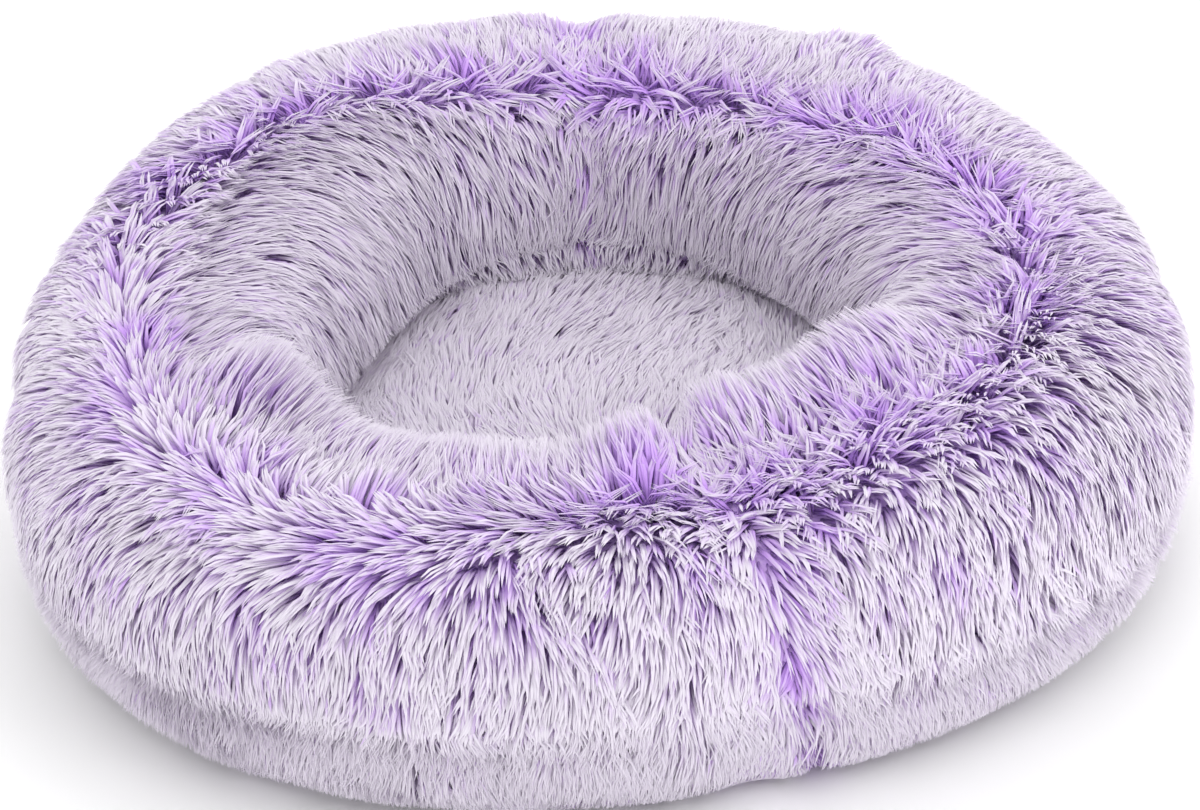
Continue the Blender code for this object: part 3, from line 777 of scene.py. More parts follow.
@dataclass(frozen=True)
class FurFinish:
    """Frosted fibre: saturated at the root, paler along its length and nearly white at the tip.

    The piece's UV map holds small tiles, one for each shade of lock. Across a tile runs the width of a
    blade and up it runs its length, so the colour depends on nothing but the map.
    """

    name: str = "frosted_fur"
    columns: int = 8
    rows: int = 4
    root: tuple = (0.60, 0.34, 0.88)
    low: tuple = (0.65, 0.43, 0.87)
    middle: tuple = (0.69, 0.53, 0.84)
    pale: tuple = (0.75, 0.65, 0.83)
    tip: tuple = (0.80, 0.745, 0.845)
    # The frost values of those five colours, then how frost varies by streak, by tile, with the tile's
    # row and along the blade
    stops: tuple = (0.02, 0.22, 0.40, 0.58, 0.80)
    streaks: float = 17.0
    wander: float = 0.34
    shade: float = 0.14
    start: tuple = (0.30, -0.21)
    slope: tuple = (0.80, 0.04)
    # Painted shade: how much the colour deepens towards the root's purple at both edges of each blade, where
    # the gaps between blades are shaded
    edge_painted_shade: float = -1.4
    roughness: float = 0.7
    specular: float = 0.2
    sheen: tuple = (0.12, 0.5)
    scatter: tuple = (0.15, (1.0, 0.75, 1.0), 0.003)
    relief: tuple = (0.25, 0.0003)

    def make(self) -> bpy.types.Material:
        """The material, whose ramp runs over a frost value of each point.

        Its frost is start + slope * length, both by the tile's row, plus streaks along the fibre and a
        shade of the tile's own, less a painted shade towards both edges of the blade, for the shade in
        the gaps between blades.
        """
        sheet = NodeSheet(self.name)
        u, v, _ = sheet.split(sheet.add("ShaderNodeUVMap", uv_map=UV_NAME).outputs[0])
        across = sheet.maths("MULTIPLY", u, float(self.columns))
        along = sheet.maths("MULTIPLY", v, float(self.rows))
        column, row = sheet.maths("FLOOR", across), sheet.maths("FLOOR", along)
        length = sheet.maths("FRACT", along)
        length = sheet.maths("MULTIPLY_ADD", length, 1.0 / TILE_SPAN, -TILE_MARGIN / TILE_SPAN)
        stretched = sheet.vector(
            sheet.maths("MULTIPLY", across, self.streaks), sheet.maths("MULTIPLY_ADD", length, 0.8, row))
        streak = sheet.noise(stretched, Scale=1.0, Detail=3.0, Roughness=0.6)
        shade = sheet.add("ShaderNodeTexWhiteNoise", noise_dimensions="2D")
        sheet.join(sheet.vector(column, row), shade.inputs["Vector"])
        wander = sheet.maths("MULTIPLY_ADD", streak, self.wander, -self.wander / 2)
        tone = sheet.maths("MULTIPLY_ADD", shade.outputs["Value"], self.shade, -self.shade / 2)
        start = sheet.maths("MULTIPLY_ADD", row, self.start[1], self.start[0])
        slope = sheet.maths("MULTIPLY_ADD", row, self.slope[1], self.slope[0])
        frost = sheet.maths("MULTIPLY_ADD", length, slope, start)
        frost = sheet.maths("ADD", sheet.maths("ADD", frost, wander), tone)
        # Painted shade: the colour deepens towards both edges of each blade, for the shade in the gaps
        # between blades
        side = sheet.maths("SUBTRACT", sheet.maths("FRACT", across), 0.5)
        frost = sheet.maths("MULTIPLY_ADD", sheet.maths("MULTIPLY", side, side), self.edge_painted_shade, frost)
        colours = (self.root, self.low, self.middle, self.pale, self.tip)
        colour = sheet.ramp(sheet.maths("MAXIMUM", frost, 0.0), list(zip(self.stops, colours)))
        sheet.bump(streak, *self.relief)
        return sheet.dress(colour, {
            "Roughness": self.roughness, "Specular IOR Level": self.specular,
            "Sheen Weight": self.sheen[0], "Sheen Roughness": self.sheen[1],
            "Subsurface Weight": self.scatter[0], "Subsurface Radius": self.scatter[1],
            "Subsurface Scale": self.scatter[2],
        })


@dataclass(frozen=True)
class BackingFinish:
    """The knitted backing between the locks, in the colour of their roots."""

    name: str = "fur_backing"
    dark: tuple = (0.60, 0.38, 0.82)
    light: tuple = (0.70, 0.50, 0.88)
    roughness: float = 0.9

    def make(self) -> bpy.types.Material:
        """The material."""
        sheet = NodeSheet(self.name)
        knit = sheet.noise(sheet.place(), Scale=420.0, Detail=2.0)
        sheet.bump(knit, 0.6, 0.001)
        colour = sheet.ramp(knit, [(0.3, self.dark), (0.7, self.light)])
        return sheet.dress(colour, {"Roughness": self.roughness})


@dataclass(frozen=True)
class WovenFinish:
    """A plain weave: two crossing sets of threads, as waves along X and Y, with a little uneven dye."""

    name: str
    colour: tuple
    shade: tuple
    threads: float = 2400.0
    roughness: float = 0.75
    relief: float = 0.0002

    def make(self) -> bpy.types.Material:
        """The material."""
        sheet = NodeSheet(self.name)
        place = sheet.place()
        x, y, _ = sheet.split(place)
        warp = sheet.maths("SINE", sheet.maths("MULTIPLY", x, self.threads * 2))
        weft = sheet.maths("SINE", sheet.maths("MULTIPLY", y, self.threads * 2))
        thread = sheet.maths("MULTIPLY_ADD", sheet.maths("MULTIPLY", warp, weft), 0.5, 0.5)
        dye = sheet.noise(place, Scale=35.0, Detail=4.0)
        mixed = sheet.maths("MULTIPLY_ADD", dye, 0.6, sheet.maths("MULTIPLY", thread, 0.4))
        sheet.bump(thread, 0.5, self.relief)
        colour = sheet.ramp(mixed, [(0.25, self.shade), (0.75, self.colour)])
        return sheet.dress(colour, {"Roughness": self.roughness})


@dataclass(frozen=True)
class TapeFinish:
    """Narrow woven tape: fine ribs across it and slanting twill lines, read from its own UV map in metres."""

    name: str = "zip_tape_twill"
    colour: tuple = (0.60, 0.49, 0.74)
    shade: tuple = (0.40, 0.29, 0.56)
    rib: float = 0.0007
    fold: float = 0.0028
    roughness: float = 0.8

    def make(self) -> bpy.types.Material:
        """The material."""
        sheet = NodeSheet(self.name)
        uv = sheet.add("ShaderNodeUVMap", uv_map=TAPE_UV).outputs[0]
        along, across, _ = sheet.split(uv)
        slant = sheet.maths("ADD", along, sheet.maths("PINGPONG", across, self.fold))
        twill = sheet.maths("SINE", sheet.maths("MULTIPLY", slant, TAU / self.rib))
        ribs = sheet.maths("SINE", sheet.maths("MULTIPLY", across, TAU / self.rib * 1.4))
        thread = sheet.maths("MULTIPLY_ADD", sheet.maths("MULTIPLY_ADD", ribs, 0.35, twill), 0.37, 0.5)
        wear = sheet.noise(uv, Scale=260.0, Detail=3.0)
        mixed = sheet.maths("MULTIPLY_ADD", wear, 0.4, sheet.maths("MULTIPLY", thread, 0.6))
        sheet.bump(thread, 0.6, 0.0002)
        colour = sheet.ramp(mixed, [(0.2, self.shade), (0.8, self.colour)])
        return sheet.dress(colour, {"Roughness": self.roughness})


@dataclass(frozen=True)
class FibreFinish:
    """Loose polyester fibre: white, cloudy, with long soft strands as stretched noise."""

    name: str = "loose_fibre"
    colour: tuple = (0.90, 0.90, 0.91)
    shade: tuple = (0.74, 0.74, 0.76)
    roughness: float = 0.95

    def make(self) -> bpy.types.Material:
        """The material."""
        sheet = NodeSheet(self.name)
        strand = sheet.noise(sheet.place(), Scale=90.0, Detail=8.0, Roughness=0.7, Distortion=2.5)
        sheet.bump(strand, 0.8, 0.002)
        colour = sheet.ramp(strand, [(0.3, self.shade), (0.65, self.colour)])
        return sheet.dress(colour, {"Roughness": self.roughness})


@dataclass(frozen=True)
class SolidFinish:
    """A moulded or plated finish with fine marks: a base colour, mottled a little, and its gloss."""

    name: str
    colour: tuple
    shade: tuple
    roughness: float
    metallic: float = 0.0
    grain: float = 900.0
    mottle: float = 0.16
    relief: float = 0.00005

    def make(self) -> bpy.types.Material:
        """The material."""
        sheet = NodeSheet(self.name)
        grain = sheet.noise(sheet.place(), Scale=self.grain, Detail=4.0)
        sheet.bump(grain, 0.3, self.relief)
        rough = sheet.maths("MULTIPLY_ADD", grain, self.mottle, self.roughness - self.mottle / 2)
        sheet.join(rough, sheet.shader.inputs["Roughness"])
        colour = sheet.ramp(grain, [(0.3, self.shade), (0.7, self.colour)])
        return sheet.dress(colour, {"Metallic": self.metallic})


@dataclass
class Locks:
    """The blades of one stretch of fur, as arrays with a row for each blade."""

    path: Array
    normal: Array
    width: Array
    tile: Array

    RIDGE_SHARE = 0.14
    CORNERS_ACROSS = (0.12, 0.88, 0.5)

    def mesh(self, name: str, finish: FurFinish, shares: Array, outline: Array) -> bpy.types.Object:
        """Skins the paths as closed blades: a flat underside, a ridge on top, and a pointed tip.

        Each ring has a left, a right and a ridge corner at its path point: P -+ W w/2 and P + D w r,
        where W is square to the path and to the surface, and D is square to both path and W.

        Args:
            name: The piece's name.
            finish: The fur finish, whose tiles the UV map follows.
            shares: How far along the blade each path point lies, from 0 to 1.
            outline: The share of its width that the blade has at each ring.

        Returns:
            The new object.
        """
        count, stations = self.path.shape[:2]
        rings = stations - 1
        ahead = unit(np.gradient(self.path, axis=1))
        side = unit(np.cross(ahead, self.normal))
        above = np.cross(side, ahead)
        width = self.width[:, None, None] * outline[None, :, None]
        ring = self.path[:, :rings]
        half = side[:, :rings] * width / 2
        ridge = ring + above[:, :rings] * width * self.RIDGE_SHARE
        corners = np.stack([ring - half, ring + half, ridge], axis=2).reshape(count, rings * 3, 3)
        points = np.concatenate([corners, self.path[:, -1:]], axis=1)
        per_blade = rings * 3 + 1
        quads, tris = self.blade_faces(rings)
        start = (np.arange(count) * per_blade)[:, None, None]
        piece = mesh_piece(name, points.reshape(-1, 3), [
            (quads[None] + start).reshape(-1, 4),
            (tris[None] + start).reshape(-1, 3),
        ])
        self.crease_sides(piece, per_blade)
        self.map_tiles(piece, quads, tris, shares, finish)
        return piece

    @staticmethod
    def crease_sides(piece: bpy.types.Object, per_blade: int) -> None:
        """Marks the edges along both sides of every blade sharp, so that its top is one soft face.

        Args:
            piece: The blades' object.
            per_blade: How many vertices each blade has.
        """
        edges = piece.data.edges
        ends = np.empty(len(edges) * 2, np.int32)
        edges.foreach_get("vertices", ends)
        local = ends.reshape(-1, 2) % per_blade
        tip = per_blade - 1
        along = np.abs(local[:, 0] - local[:, 1]) >= 3
        to_tip = (local == tip).any(axis=1)
        low = local.min(axis=1)
        side = (low % 3 != 2) & (along | to_tip)
        crease = piece.data.attributes.new("sharp_edge", "BOOLEAN", "EDGE")
        crease.data.foreach_set("value", side)

    @staticmethod
    def blade_faces(rings: int) -> tuple:
        """The quads and triangles of one blade: three sides between rings, a point and a root cap.

        Args:
            rings: How many rings of three corners the blade has below its tip.

        Returns:
            Vertex numbers of the quads and of the triangles.
        """
        pairs = ((0, 1), (1, 2), (2, 0))
        quads = [(i * 3 + two, i * 3 + one, (i + 1) * 3 + one, (i + 1) * 3 + two)
                 for i in range(rings - 1) for one, two in pairs]
        last = (rings - 1) * 3
        tris = [(last + two, last + one, rings * 3) for one, two in pairs]
        tris.append((0, 1, 2))
        return np.array(quads), np.array(tris)

    def map_tiles(
        self, piece: bpy.types.Object, quads: Array, tris: Array, shares: Array, finish: FurFinish
    ) -> None:
        """Lays every blade on its own tile: its width across, its length up, with a small margin.

        Args:
            piece: The blades' object.
            quads: One blade's quads.
            tris: One blade's triangles.
            shares: How far along the blade each path point lies.
            finish: The fur finish, whose tiles the map follows.
        """
        across = np.append(np.tile(self.CORNERS_ACROSS, len(shares) - 1), 0.5)
        along = np.append(np.repeat(shares[:-1], 3), 1.0)
        local = np.stack([across, TILE_MARGIN + TILE_SPAN * along], axis=-1)
        corner_uv = [local[quads.reshape(-1)], local[tris.reshape(-1)]]
        column = (self.tile % finish.columns)[:, None]
        row = (self.tile // finish.columns)[:, None]
        layers = []
        for part in corner_uv:
            u = (column + part[None, :, 0]) / finish.columns
            v = (row + part[None, :, 1]) / finish.rows
            layers.append(np.stack([u, v], axis=-1).reshape(-1, 2))
        layer = piece.data.uv_layers.new(name=UV_NAME)
        layer.data.foreach_set("uv", np.concatenate(layers).astype(np.float32).reshape(-1))


@dataclass
class Comb:
    """How the pile lies at a place: its heading along the sheet, how far it reaches that way, how high its
    tips rise as a share of the pile's depth, how early it rises, its tone, from 0 pale to 3 deep, and how
    far the tips of a clump gather, from 0 loose to 1 in one point."""

    one: Array
    two: Array
    reach: Array
    rise: Array
    early: Array
    tone: Array
    gather: Array


@dataclass
class Pelt:
    """Grows fur between a backing and the surface its tips reach, in clumps whose blades come together."""

    root: Sheet
    lay: Sheet
    seed: int
    finish: FurFinish
    blades_each: int = 4
    clump_radius: float = 0.0027
    blade_width: float = 0.0016
    floor: float = 0.0008
    sway: float = 0.13
    tone_spread: float = 0.45
    shares: tuple = (0.0, 0.36, 0.76, 1.0)
    outline: tuple = (0.75, 1.0, 0.86)

    def walk(self, a: Array, b: Array, comb: Comb, scale: Array) -> tuple:
        """Walks each blade along its heading, while it rises from the backing towards the lay surface.

        At a share u of its length it has gone u times its reach, and it stands at
        root + (lay - root) rise (1 - (1 - u)^early).

        Args:
            a: First parameters of the roots.
            b: Second parameters of the roots.
            comb: How the pile lies at each root.
            scale: A factor on each blade's length.

        Returns:
            The path's points and the lay surface's normals there, each with a row for each blade.
        """
        a, b = a.copy(), b.copy()
        path, normals = [], []
        before = 0.0
        for u in self.shares:
            if u > before:
                _, _, stretch_a, stretch_b = self.root.place(a, b)
                step = comb.reach * scale * (u - before)
                a = a + comb.one * step / stretch_a
                b = b + comb.two * step / stretch_b
                before = u
            base = self.root.mix(self.root.points, a, b)
            top = self.lay.mix(self.lay.points, a, b)
            rise = comb.rise * scale * (1 - (1 - u) ** comb.early)
            path.append(base + (top - base) * rise[:, None])
            normals.append(unit(self.lay.mix(self.lay.normals, a, b)))
        return np.stack(path, axis=1), np.stack(normals, axis=1)

    def grow(self, a: Array, b: Array, comb_at: Callable, keep_out: Callable | None = None) -> Locks:
        """Grows the blades of the clumps rooted at these places.

        Args:
            a: First parameters of the clumps.
            b: Second parameters of the clumps.
            comb_at: A function of the parameters, the points and the random draws that gives a Comb.
            keep_out: A function of the paths that gives a factor on each blade's length.

        Returns:
            The blades.
        """
        rng = np.random.default_rng(self.seed)
        count = len(a)
        point, _, stretch_a, stretch_b = self.root.place(a, b)
        comb = comb_at(a, b, point, rng)
        middle, _ = self.walk(a, b, comb, np.ones(count))
        owner = np.repeat(np.arange(count), self.blades_each)
        blades = len(owner)
        turn = rng.uniform(0, TAU, blades)
        away = self.clump_radius * np.sqrt(rng.uniform(0, 1, blades))
        root_a = a[owner] + away * np.cos(turn) / stretch_a[owner]
        root_b = b[owner] + away * np.sin(turn) / stretch_b[owner]
        sway = rng.normal(0, self.sway, blades)
        one, two = comb.one[owner], comb.two[owner]
        own = Comb(
            one=one * np.cos(sway) - two * np.sin(sway),
            two=one * np.sin(sway) + two * np.cos(sway),
            reach=comb.reach[owner] * rng.uniform(0.8, 1.15, blades),
            rise=comb.rise[owner] + rng.normal(0, 1.0, blades) * comb.gather[owner] * 0.08,
            early=comb.early[owner] * rng.uniform(0.85, 1.15, blades),
            tone=comb.tone[owner],
            gather=comb.gather[owner],
        )
        path, normal = self.walk(root_a, root_b, own, np.ones(blades))
        if keep_out is not None:
            path, normal = self.walk(root_a, root_b, own, keep_out(path))
            middle, _ = self.walk(a, b, comb, keep_out(middle))
        share = np.array(self.shares)[None, :, None] ** 1.3
        path = path + (middle[owner] - path) * share * own.gather[:, None, None]
        path[:, :, 2] = np.maximum(path[:, :, 2], self.floor + rng.uniform(0, 0.0008, blades)[:, None])
        width = self.blade_width * rng.uniform(0.6, 1.3, blades)
        tone = np.round(own.tone + rng.normal(0, self.tone_spread, blades))
        tone = np.clip(tone, 0, self.finish.rows - 1).astype(int)
        tile = tone * self.finish.columns + rng.integers(0, self.finish.columns, blades)
        return Locks(path, normal, width, tile)

    def make(self, name: str, locks: Locks, fur: bpy.types.Material, node: str) -> None:
        """Makes a piece of the blades, dressed and standing for a CAD node.

        Args:
            name: The piece's name.
            locks: The blades.
            fur: The fur's material.
            node: The CAD node's name.
        """
        piece = locks.mesh(name, self.finish, np.array(self.shares), np.array(self.outline))
        give(piece, fur)
        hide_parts(node)


@dataclass(frozen=True)
class Tuft:
    """A place on the ring where the pile stands, at an azimuth and an offset outside its centre line.

    Its lift, purple and curl say how much the pile stands, deepens and curls there.
    """

    azimuth_deg: float
    spread_deg: float
    offset: float
    width: float
    lift: float = 0.0
    purple: float = 0.0
    curl: float = 0.0

    def weight(self, azimuth: Array, outside: Array) -> Array:
        """A bell over both directions: exp(-(turn / spread)^2 - (distance / width)^2)."""
        turn = bump_at(azimuth, self.azimuth_deg, self.spread_deg)
        return turn * bell(outside - self.offset, self.width)


@dataclass
class Spot:
    """Places on the ring's coat: where they lie, and how much of each feature of the pile they have."""

    azimuth: Array
    point: Array
    height: Array
    # Distances outside the ring's centre line and outside the parting, which are less than 0 inside them
    offset: Array
    outside: Array
    beyond: Array
    inner: Array
    crown: Array
    near: Array
    low: Array
    calm: Array
    seam: Array
    purple_line: Array
    lift: Array
    purple: Array
    curl: Array
    wide: Array
    fine: Array


@dataclass
class RingCoat:
    """The fur of the ring and of the border under it, one coat over one backing from hem to foot."""

    form: RingForm
    fur: bpy.types.Material
    backing: bpy.types.Material
    finish: FurFinish
    names: tuple = ("back_right", "back_left", "front_left", "front_right")
    clumps: int = 21500
    # How many points the section has along each of its stretches
    azimuth_rows: int = 721
    border_points: int = 24
    wall_points: int = 26
    crown_points: int = 110
    foot_points: int = 22
    hem: float = 0.0022
    hem_heights: tuple = (0.0012, 0.0021)
    lift: float = 0.0012
    # Where the clumps stand twice as close: beside the parting, and on the outer side below a height
    thick_band: float = 0.015
    thick_height: float = 0.070
    zip_margin: float = 0.0008
    shortest_share: float = 0.15
    backing_thickness: float = 0.0009
    backing_gap: float = 0.0004
    tucked: tuple = (0.0005, 0.0001)
    # For each band of the section: its label, the shares of a blade's length at which it has a ring,
    # with the tip last, and the shares of its width there
    bands: tuple = (
        ("outer", (0.0, 0.50, 1.0), (0.8, 1.0)),
        ("crown", (0.0, 0.36, 0.76, 1.0), (0.75, 1.0, 0.86)),
        ("inner", (0.0, 0.42, 1.0), (0.8, 1.0)),
    )
    # Azimuths in degrees, and how far outside the centre line the pile parts there, in millimetres
    parting_knots: tuple = (
        (0, -4), (18, -9), (30, -15), (42, -31), (60, -39), (90, -39), (112, -35), (140, -5), (165, 22),
        (180, 26), (198, 10), (212, 16), (228, 28), (244, 35), (252, 20), (260, 9), (270, 3), (277, -1),
        (287, 11), (296, 11), (306, 5), (320, 13), (336, 4))
    tufts: tuple = (
        Tuft(217, 8, -0.016, 0.020, lift=2.0, purple=1.0),
        Tuft(290, 18, -0.046, 0.022, lift=1.7, purple=0.7),
        Tuft(276, 8, -0.020, 0.020, lift=0.8, purple=1.3),
        Tuft(254, 12, -0.014, 0.024, lift=0.6, purple=1.1),
        Tuft(249, 7, 0.036, 0.014, lift=0.1, purple=1.1),
        Tuft(303, 17, -0.026, 0.014, lift=0.3, purple=1.0),
        Tuft(320, 12, -0.042, 0.026, lift=1.3, purple=0.6),
        Tuft(89.5, 5, 0.010, 0.016, lift=0.35, purple=1.6),
        Tuft(76, 17, -0.036, 0.017, lift=0.10, purple=0.6),
        Tuft(55, 3.5, 0.026, 0.022, lift=0.6, purple=0.4),
        Tuft(291, 11, 0.012, 0.020, lift=0.10, purple=0.5, curl=1.1),
        Tuft(312, 15, 0.010, 0.022, lift=0.12, purple=0.5, curl=1.1),
        Tuft(350, 24, 0.002, 0.024, lift=0.10, purple=0.45, curl=0.6),
        Tuft(28, 14, -0.020, 0.022, lift=0.10, purple=0.35, curl=0.5),
        Tuft(196, 6, 0.004, 0.022, lift=0.10, purple=0.5),
        Tuft(179, 5, 0.030, 0.018, lift=0.10, purple=0.7),
    )
    root: Sheet = field(init=False)
    lay: Sheet = field(init=False)

    def __post_init__(self) -> None:
        """Works out the backing and the lay surface as sheets over azimuth and a share of the section."""
        azimuth = np.linspace(0, TAU, self.azimuth_rows)
        self.root = self.sheet(azimuth, over_pile=False)
        self.lay = self.sheet(azimuth, over_pile=True)

    def section(self, azimuth: Array, over_pile: bool) -> tuple:
        """The section from the hem, up the border and the ring's side, over the crest and to the foot.

        Args:
            azimuth: Azimuths in radians.
            over_pile: Whether it is the lay surface, and not the backing.

        Returns:
            Radii and heights, with a row for each azimuth.
        """
        form = self.form
        column = azimuth[:, None]
        border = np.linspace(self.hem, form.seam_height, self.border_points)[:-1]
        wall = np.linspace(form.seam_height, form.widest, self.wall_points)[:-1]
        low = np.concatenate([border, wall])[None, :] + 0 * column
        if over_pile:
            outer = form.outer_pile(column + 0 * low, low)
        else:
            outer = form.outer_wall(column + 0 * low, low) + self.lift
        angle = np.linspace(0, math.pi, self.crown_points)[None, :] + 0 * column
        crown_radius, crown_height = form.crown(column + 0 * angle, angle, over_pile)
        share = np.linspace(0, 1, self.foot_points)[None, 1:] + 0 * column
        inner, down = form.inner_wall(column + 0 * share, share, over_pile)
        radius = np.concatenate([outer, crown_radius, inner], axis=1)
        height = np.concatenate([low, crown_height, down], axis=1)
        return radius, height

    def sheet(self, azimuth: Array, over_pile: bool) -> Sheet:
        """One of the two sheets, facing out.

        Args:
            azimuth: Azimuths in radians.
            over_pile: Whether it is the lay surface, and not the backing.

        Returns:
            The sheet over azimuth and a share of the section.
        """
        radius, height = self.section(azimuth, over_pile)
        column = azimuth[:, None]
        points = about_axis(radius, column, height)
        made = Sheet(azimuth, np.linspace(0, 1, points.shape[1]), points, closed=True)
        made.face_out(points - about_axis(self.form.ring_radius, column, self.form.widest))
        return made

    def parting(self, azimuth: Array) -> Array:
        """How far outside the ring's centre line the pile parts.

        It is the knots' line, averaged over 12 degrees, with a small wave.

        Args:
            azimuth: Azimuths in radians.

        Returns:
            Distances in metres.
        """
        knots = np.array(self.parting_knots, float)
        turns = (-6.0, -3.0, 0.0, 3.0, 6.0)
        line = 0.0
        for turn in turns:
            offset = np.interp(np.degrees(azimuth) + turn, knots[:, 0], knots[:, 1] / 1000, period=360)
            line = line + offset / len(turns)
        return line + 0.003 * np.sin(23 * azimuth + 0.7)

    def lean(self, height: Array) -> Array:
        """How far the front seam's line in the pile leans from the panels' joint, in radians."""
        return np.radians(2.2 + 4.8 * np.clip(1 - height / 0.105, 0, 1))

    def look(self, a: Array, point: Array) -> Spot:
        """Finds where places lie on the coat, and how much of each feature they have.

        Args:
            a: Azimuths.
            point: The points there.

        Returns:
            The places' features.
        """
        height = point[:, 2]
        radius = np.hypot(point[:, 0], point[:, 1])
        centre, _, _ = self.form.section(a)
        offset = radius - centre
        outside = offset - self.parting(a)
        beyond, inner = radius > centre, radius < centre
        crown = smooth_step((height - 0.085) / 0.030)
        near = crown * bell(outside, 0.017 + 0.011 * bump_at(a, 335, 45))
        lift, purple, curl = (crown * sum(getattr(t, kind) * t.weight(a, offset) for t in self.tufts)
                              for kind in ("lift", "purple", "curl"))
        seen = a - self.lean(height) * (np.abs(angle_from(a, math.radians(286))) < 0.35)
        return Spot(
            azimuth=a, point=point, height=height, offset=offset, outside=outside, beyond=beyond,
            inner=inner, crown=crown, near=near, lift=lift, purple=purple, curl=curl,
            low=(1 - smooth_step((height - 0.050) / 0.050)) * beyond,
            calm=bump_at(a, 12, 48),
            seam=bell(self.form.to_seam(seen), 0.0055) * smooth_step((0.12 - height) / 0.05),
            purple_line=bump_at(a, -45, 28) * bell(height - 0.060, 0.012) * beyond,
            wide=Ripple(0.16, 11).at(point), fine=Ripple(0.040, 12).at(point),
        )

    def comb(self, a: Array, b: Array, point: Array, rng: np.random.Generator) -> Comb:
        """How the pile lies at each place.

        In the tufts it stands, and beside the seams it is lower.

        Args:
            a: Azimuths.
            b: Shares of the section; not used.
            point: The points there.
            rng: The clump's random draws.

        Returns:
            The comb at each place.
        """
        spot = self.look(a, point)
        one, two = self.heading(spot, rng)
        reach = self.reach(spot, rng)
        close = spot.crown * bell(spot.outside, 0.036)
        deep = (1 - smooth_step((spot.height - 0.044) / 0.022)) * spot.beyond
        uneven = 0.08 * spot.fine + (0.018 + 0.062 * close) * rng.normal(0, 1.0, len(a))
        rise = 0.90 + 0.08 * spot.near + spot.lift + 0.07 * spot.low + uneven * (1 - 0.65 * spot.low)
        rise = rise - 0.38 * spot.seam
        early = 1.35 + 0.75 * deep + 0.6 * spot.near + 0.4 * spot.lift
        gather = (0.24 + 0.52 * close) * (1 - 0.5 * spot.calm)
        gather = gather * (1 - 0.45 * spot.inner * (1 - spot.crown))
        return Comb(one, two, reach, rise, early, self.tone(spot, rng), gather)

    def heading(self, spot: Spot, rng: np.random.Generator) -> tuple:
        """Which way the pile goes: away from the parting, with drifts, and rougher near it and in curls.

        Args:
            spot: The places' features.
            rng: The clump's random draws.

        Returns:
            The unit heading's parts along the ring and along the section.
        """
        count = len(spot.height)
        drift = 0.20 * spot.wide + 0.22 * spot.fine + rng.normal(0, 0.20, count)
        drift = drift + spot.crown * self.sweep(spot.azimuth, spot.outside, spot.offset)
        front_seam = math.radians(self.form.seams_deg[3])
        from_seam = angle_from(spot.azimuth - self.lean(spot.height), front_seam)
        drift = drift + 0.30 * bell(from_seam, math.radians(5)) * (spot.outside > 0) * np.sign(from_seam)
        mess = (0.28 * spot.near + 0.85 * spot.curl) * (1 - 0.4 * spot.calm)
        one = drift + mess * rng.normal(0, 1.0, count)
        away = np.where(spot.crown > 0, spot.outside, np.sign(spot.outside) * 0.06)
        two = -np.tanh(away / 0.010) + (0.2 * spot.near + 0.8 * spot.curl) * rng.normal(0, 0.8, count)
        size = np.maximum(np.hypot(one, two), SHORTEST_STRETCH)
        return one / size, two / size

    def reach(self, spot: Spot, rng: np.random.Generator) -> Array:
        """How far the pile reaches: less at the foot, on the border and at the seams, more just above.

        Args:
            spot: The places' features.
            rng: The clump's random draws.

        Returns:
            Lengths in metres.
        """
        count = len(spot.height)
        reach = 0.0235 - 0.002 * spot.near - 0.005 * spot.curl - 0.0055 * spot.lift
        reach = reach + rng.normal(0, 0.0025, count)
        reach = reach - 0.0045 * spot.low + 0.003 * spot.low * rng.normal(0, 1.0, count)
        bulge = bell(spot.height - 0.060, 0.014) * spot.beyond
        reach = reach * (1 + 0.5 * bulge) + 0.013 * bulge * rng.uniform(0, 1, count)
        reach = reach - 0.012 * smooth_step((0.080 - spot.height) / 0.03) * spot.inner
        border = spot.height < self.form.seam_height
        reach = np.where(border, np.minimum(reach, 0.0045 + 0.36 * spot.height), reach)
        reach = reach * (1 - 0.30 * spot.purple_line * ~border)
        return np.clip(reach * (1 - 0.25 * spot.seam), 0.004, 0.045)

    def tone(self, spot: Spot, rng: np.random.Generator) -> Array:
        """How deep the pile's colour is: deepest where roots show.

        That is at the parting and below it in patches and single strands, at the seams, in the tufts and
        round the shoulder.

        Args:
            spot: The places' features.
            rng: The clump's random draws.

        Returns:
            Tones from 0, pale, to 3, deep.
        """
        outside = spot.outside
        below = np.where(outside > 0, np.exp(-outside / 0.045), np.exp(outside / 0.018))
        specks = Ripple(0.016, 13).at(spot.point)
        patches = np.clip(spot.fine + 0.7 * specks + 0.3, 0, 2) * below * spot.crown
        tone = 0.25 + 0.75 * spot.near + 0.25 * spot.wide + 0.2 * specks + 1.1 * patches
        tone = tone + 2.3 * spot.seam + 0.5 * spot.purple_line + spot.purple
        shoulder = bell(outside - 0.042, 0.030) * (outside > 0)
        tone = tone + 0.8 * shoulder * np.clip(Ripple(0.034, 15).at(spot.point) + 0.3 * specks, -0.4, 2)
        front = bump_at(spot.azimuth, 285, 24)
        tone = tone + 0.55 * front * spot.crown * bell(outside + 0.010, 0.018)
        strand = (rng.uniform(0, 1, len(outside)) < 0.12) * (outside > 0)
        strand = strand * np.exp(-np.maximum(outside, 0) / 0.075)
        tone = tone + (0.5 + 0.5 * front) * strand + 0.45 * front * shoulder
        return tone - 0.4 * spot.inner * (1 - spot.crown) - 0.25 * spot.low

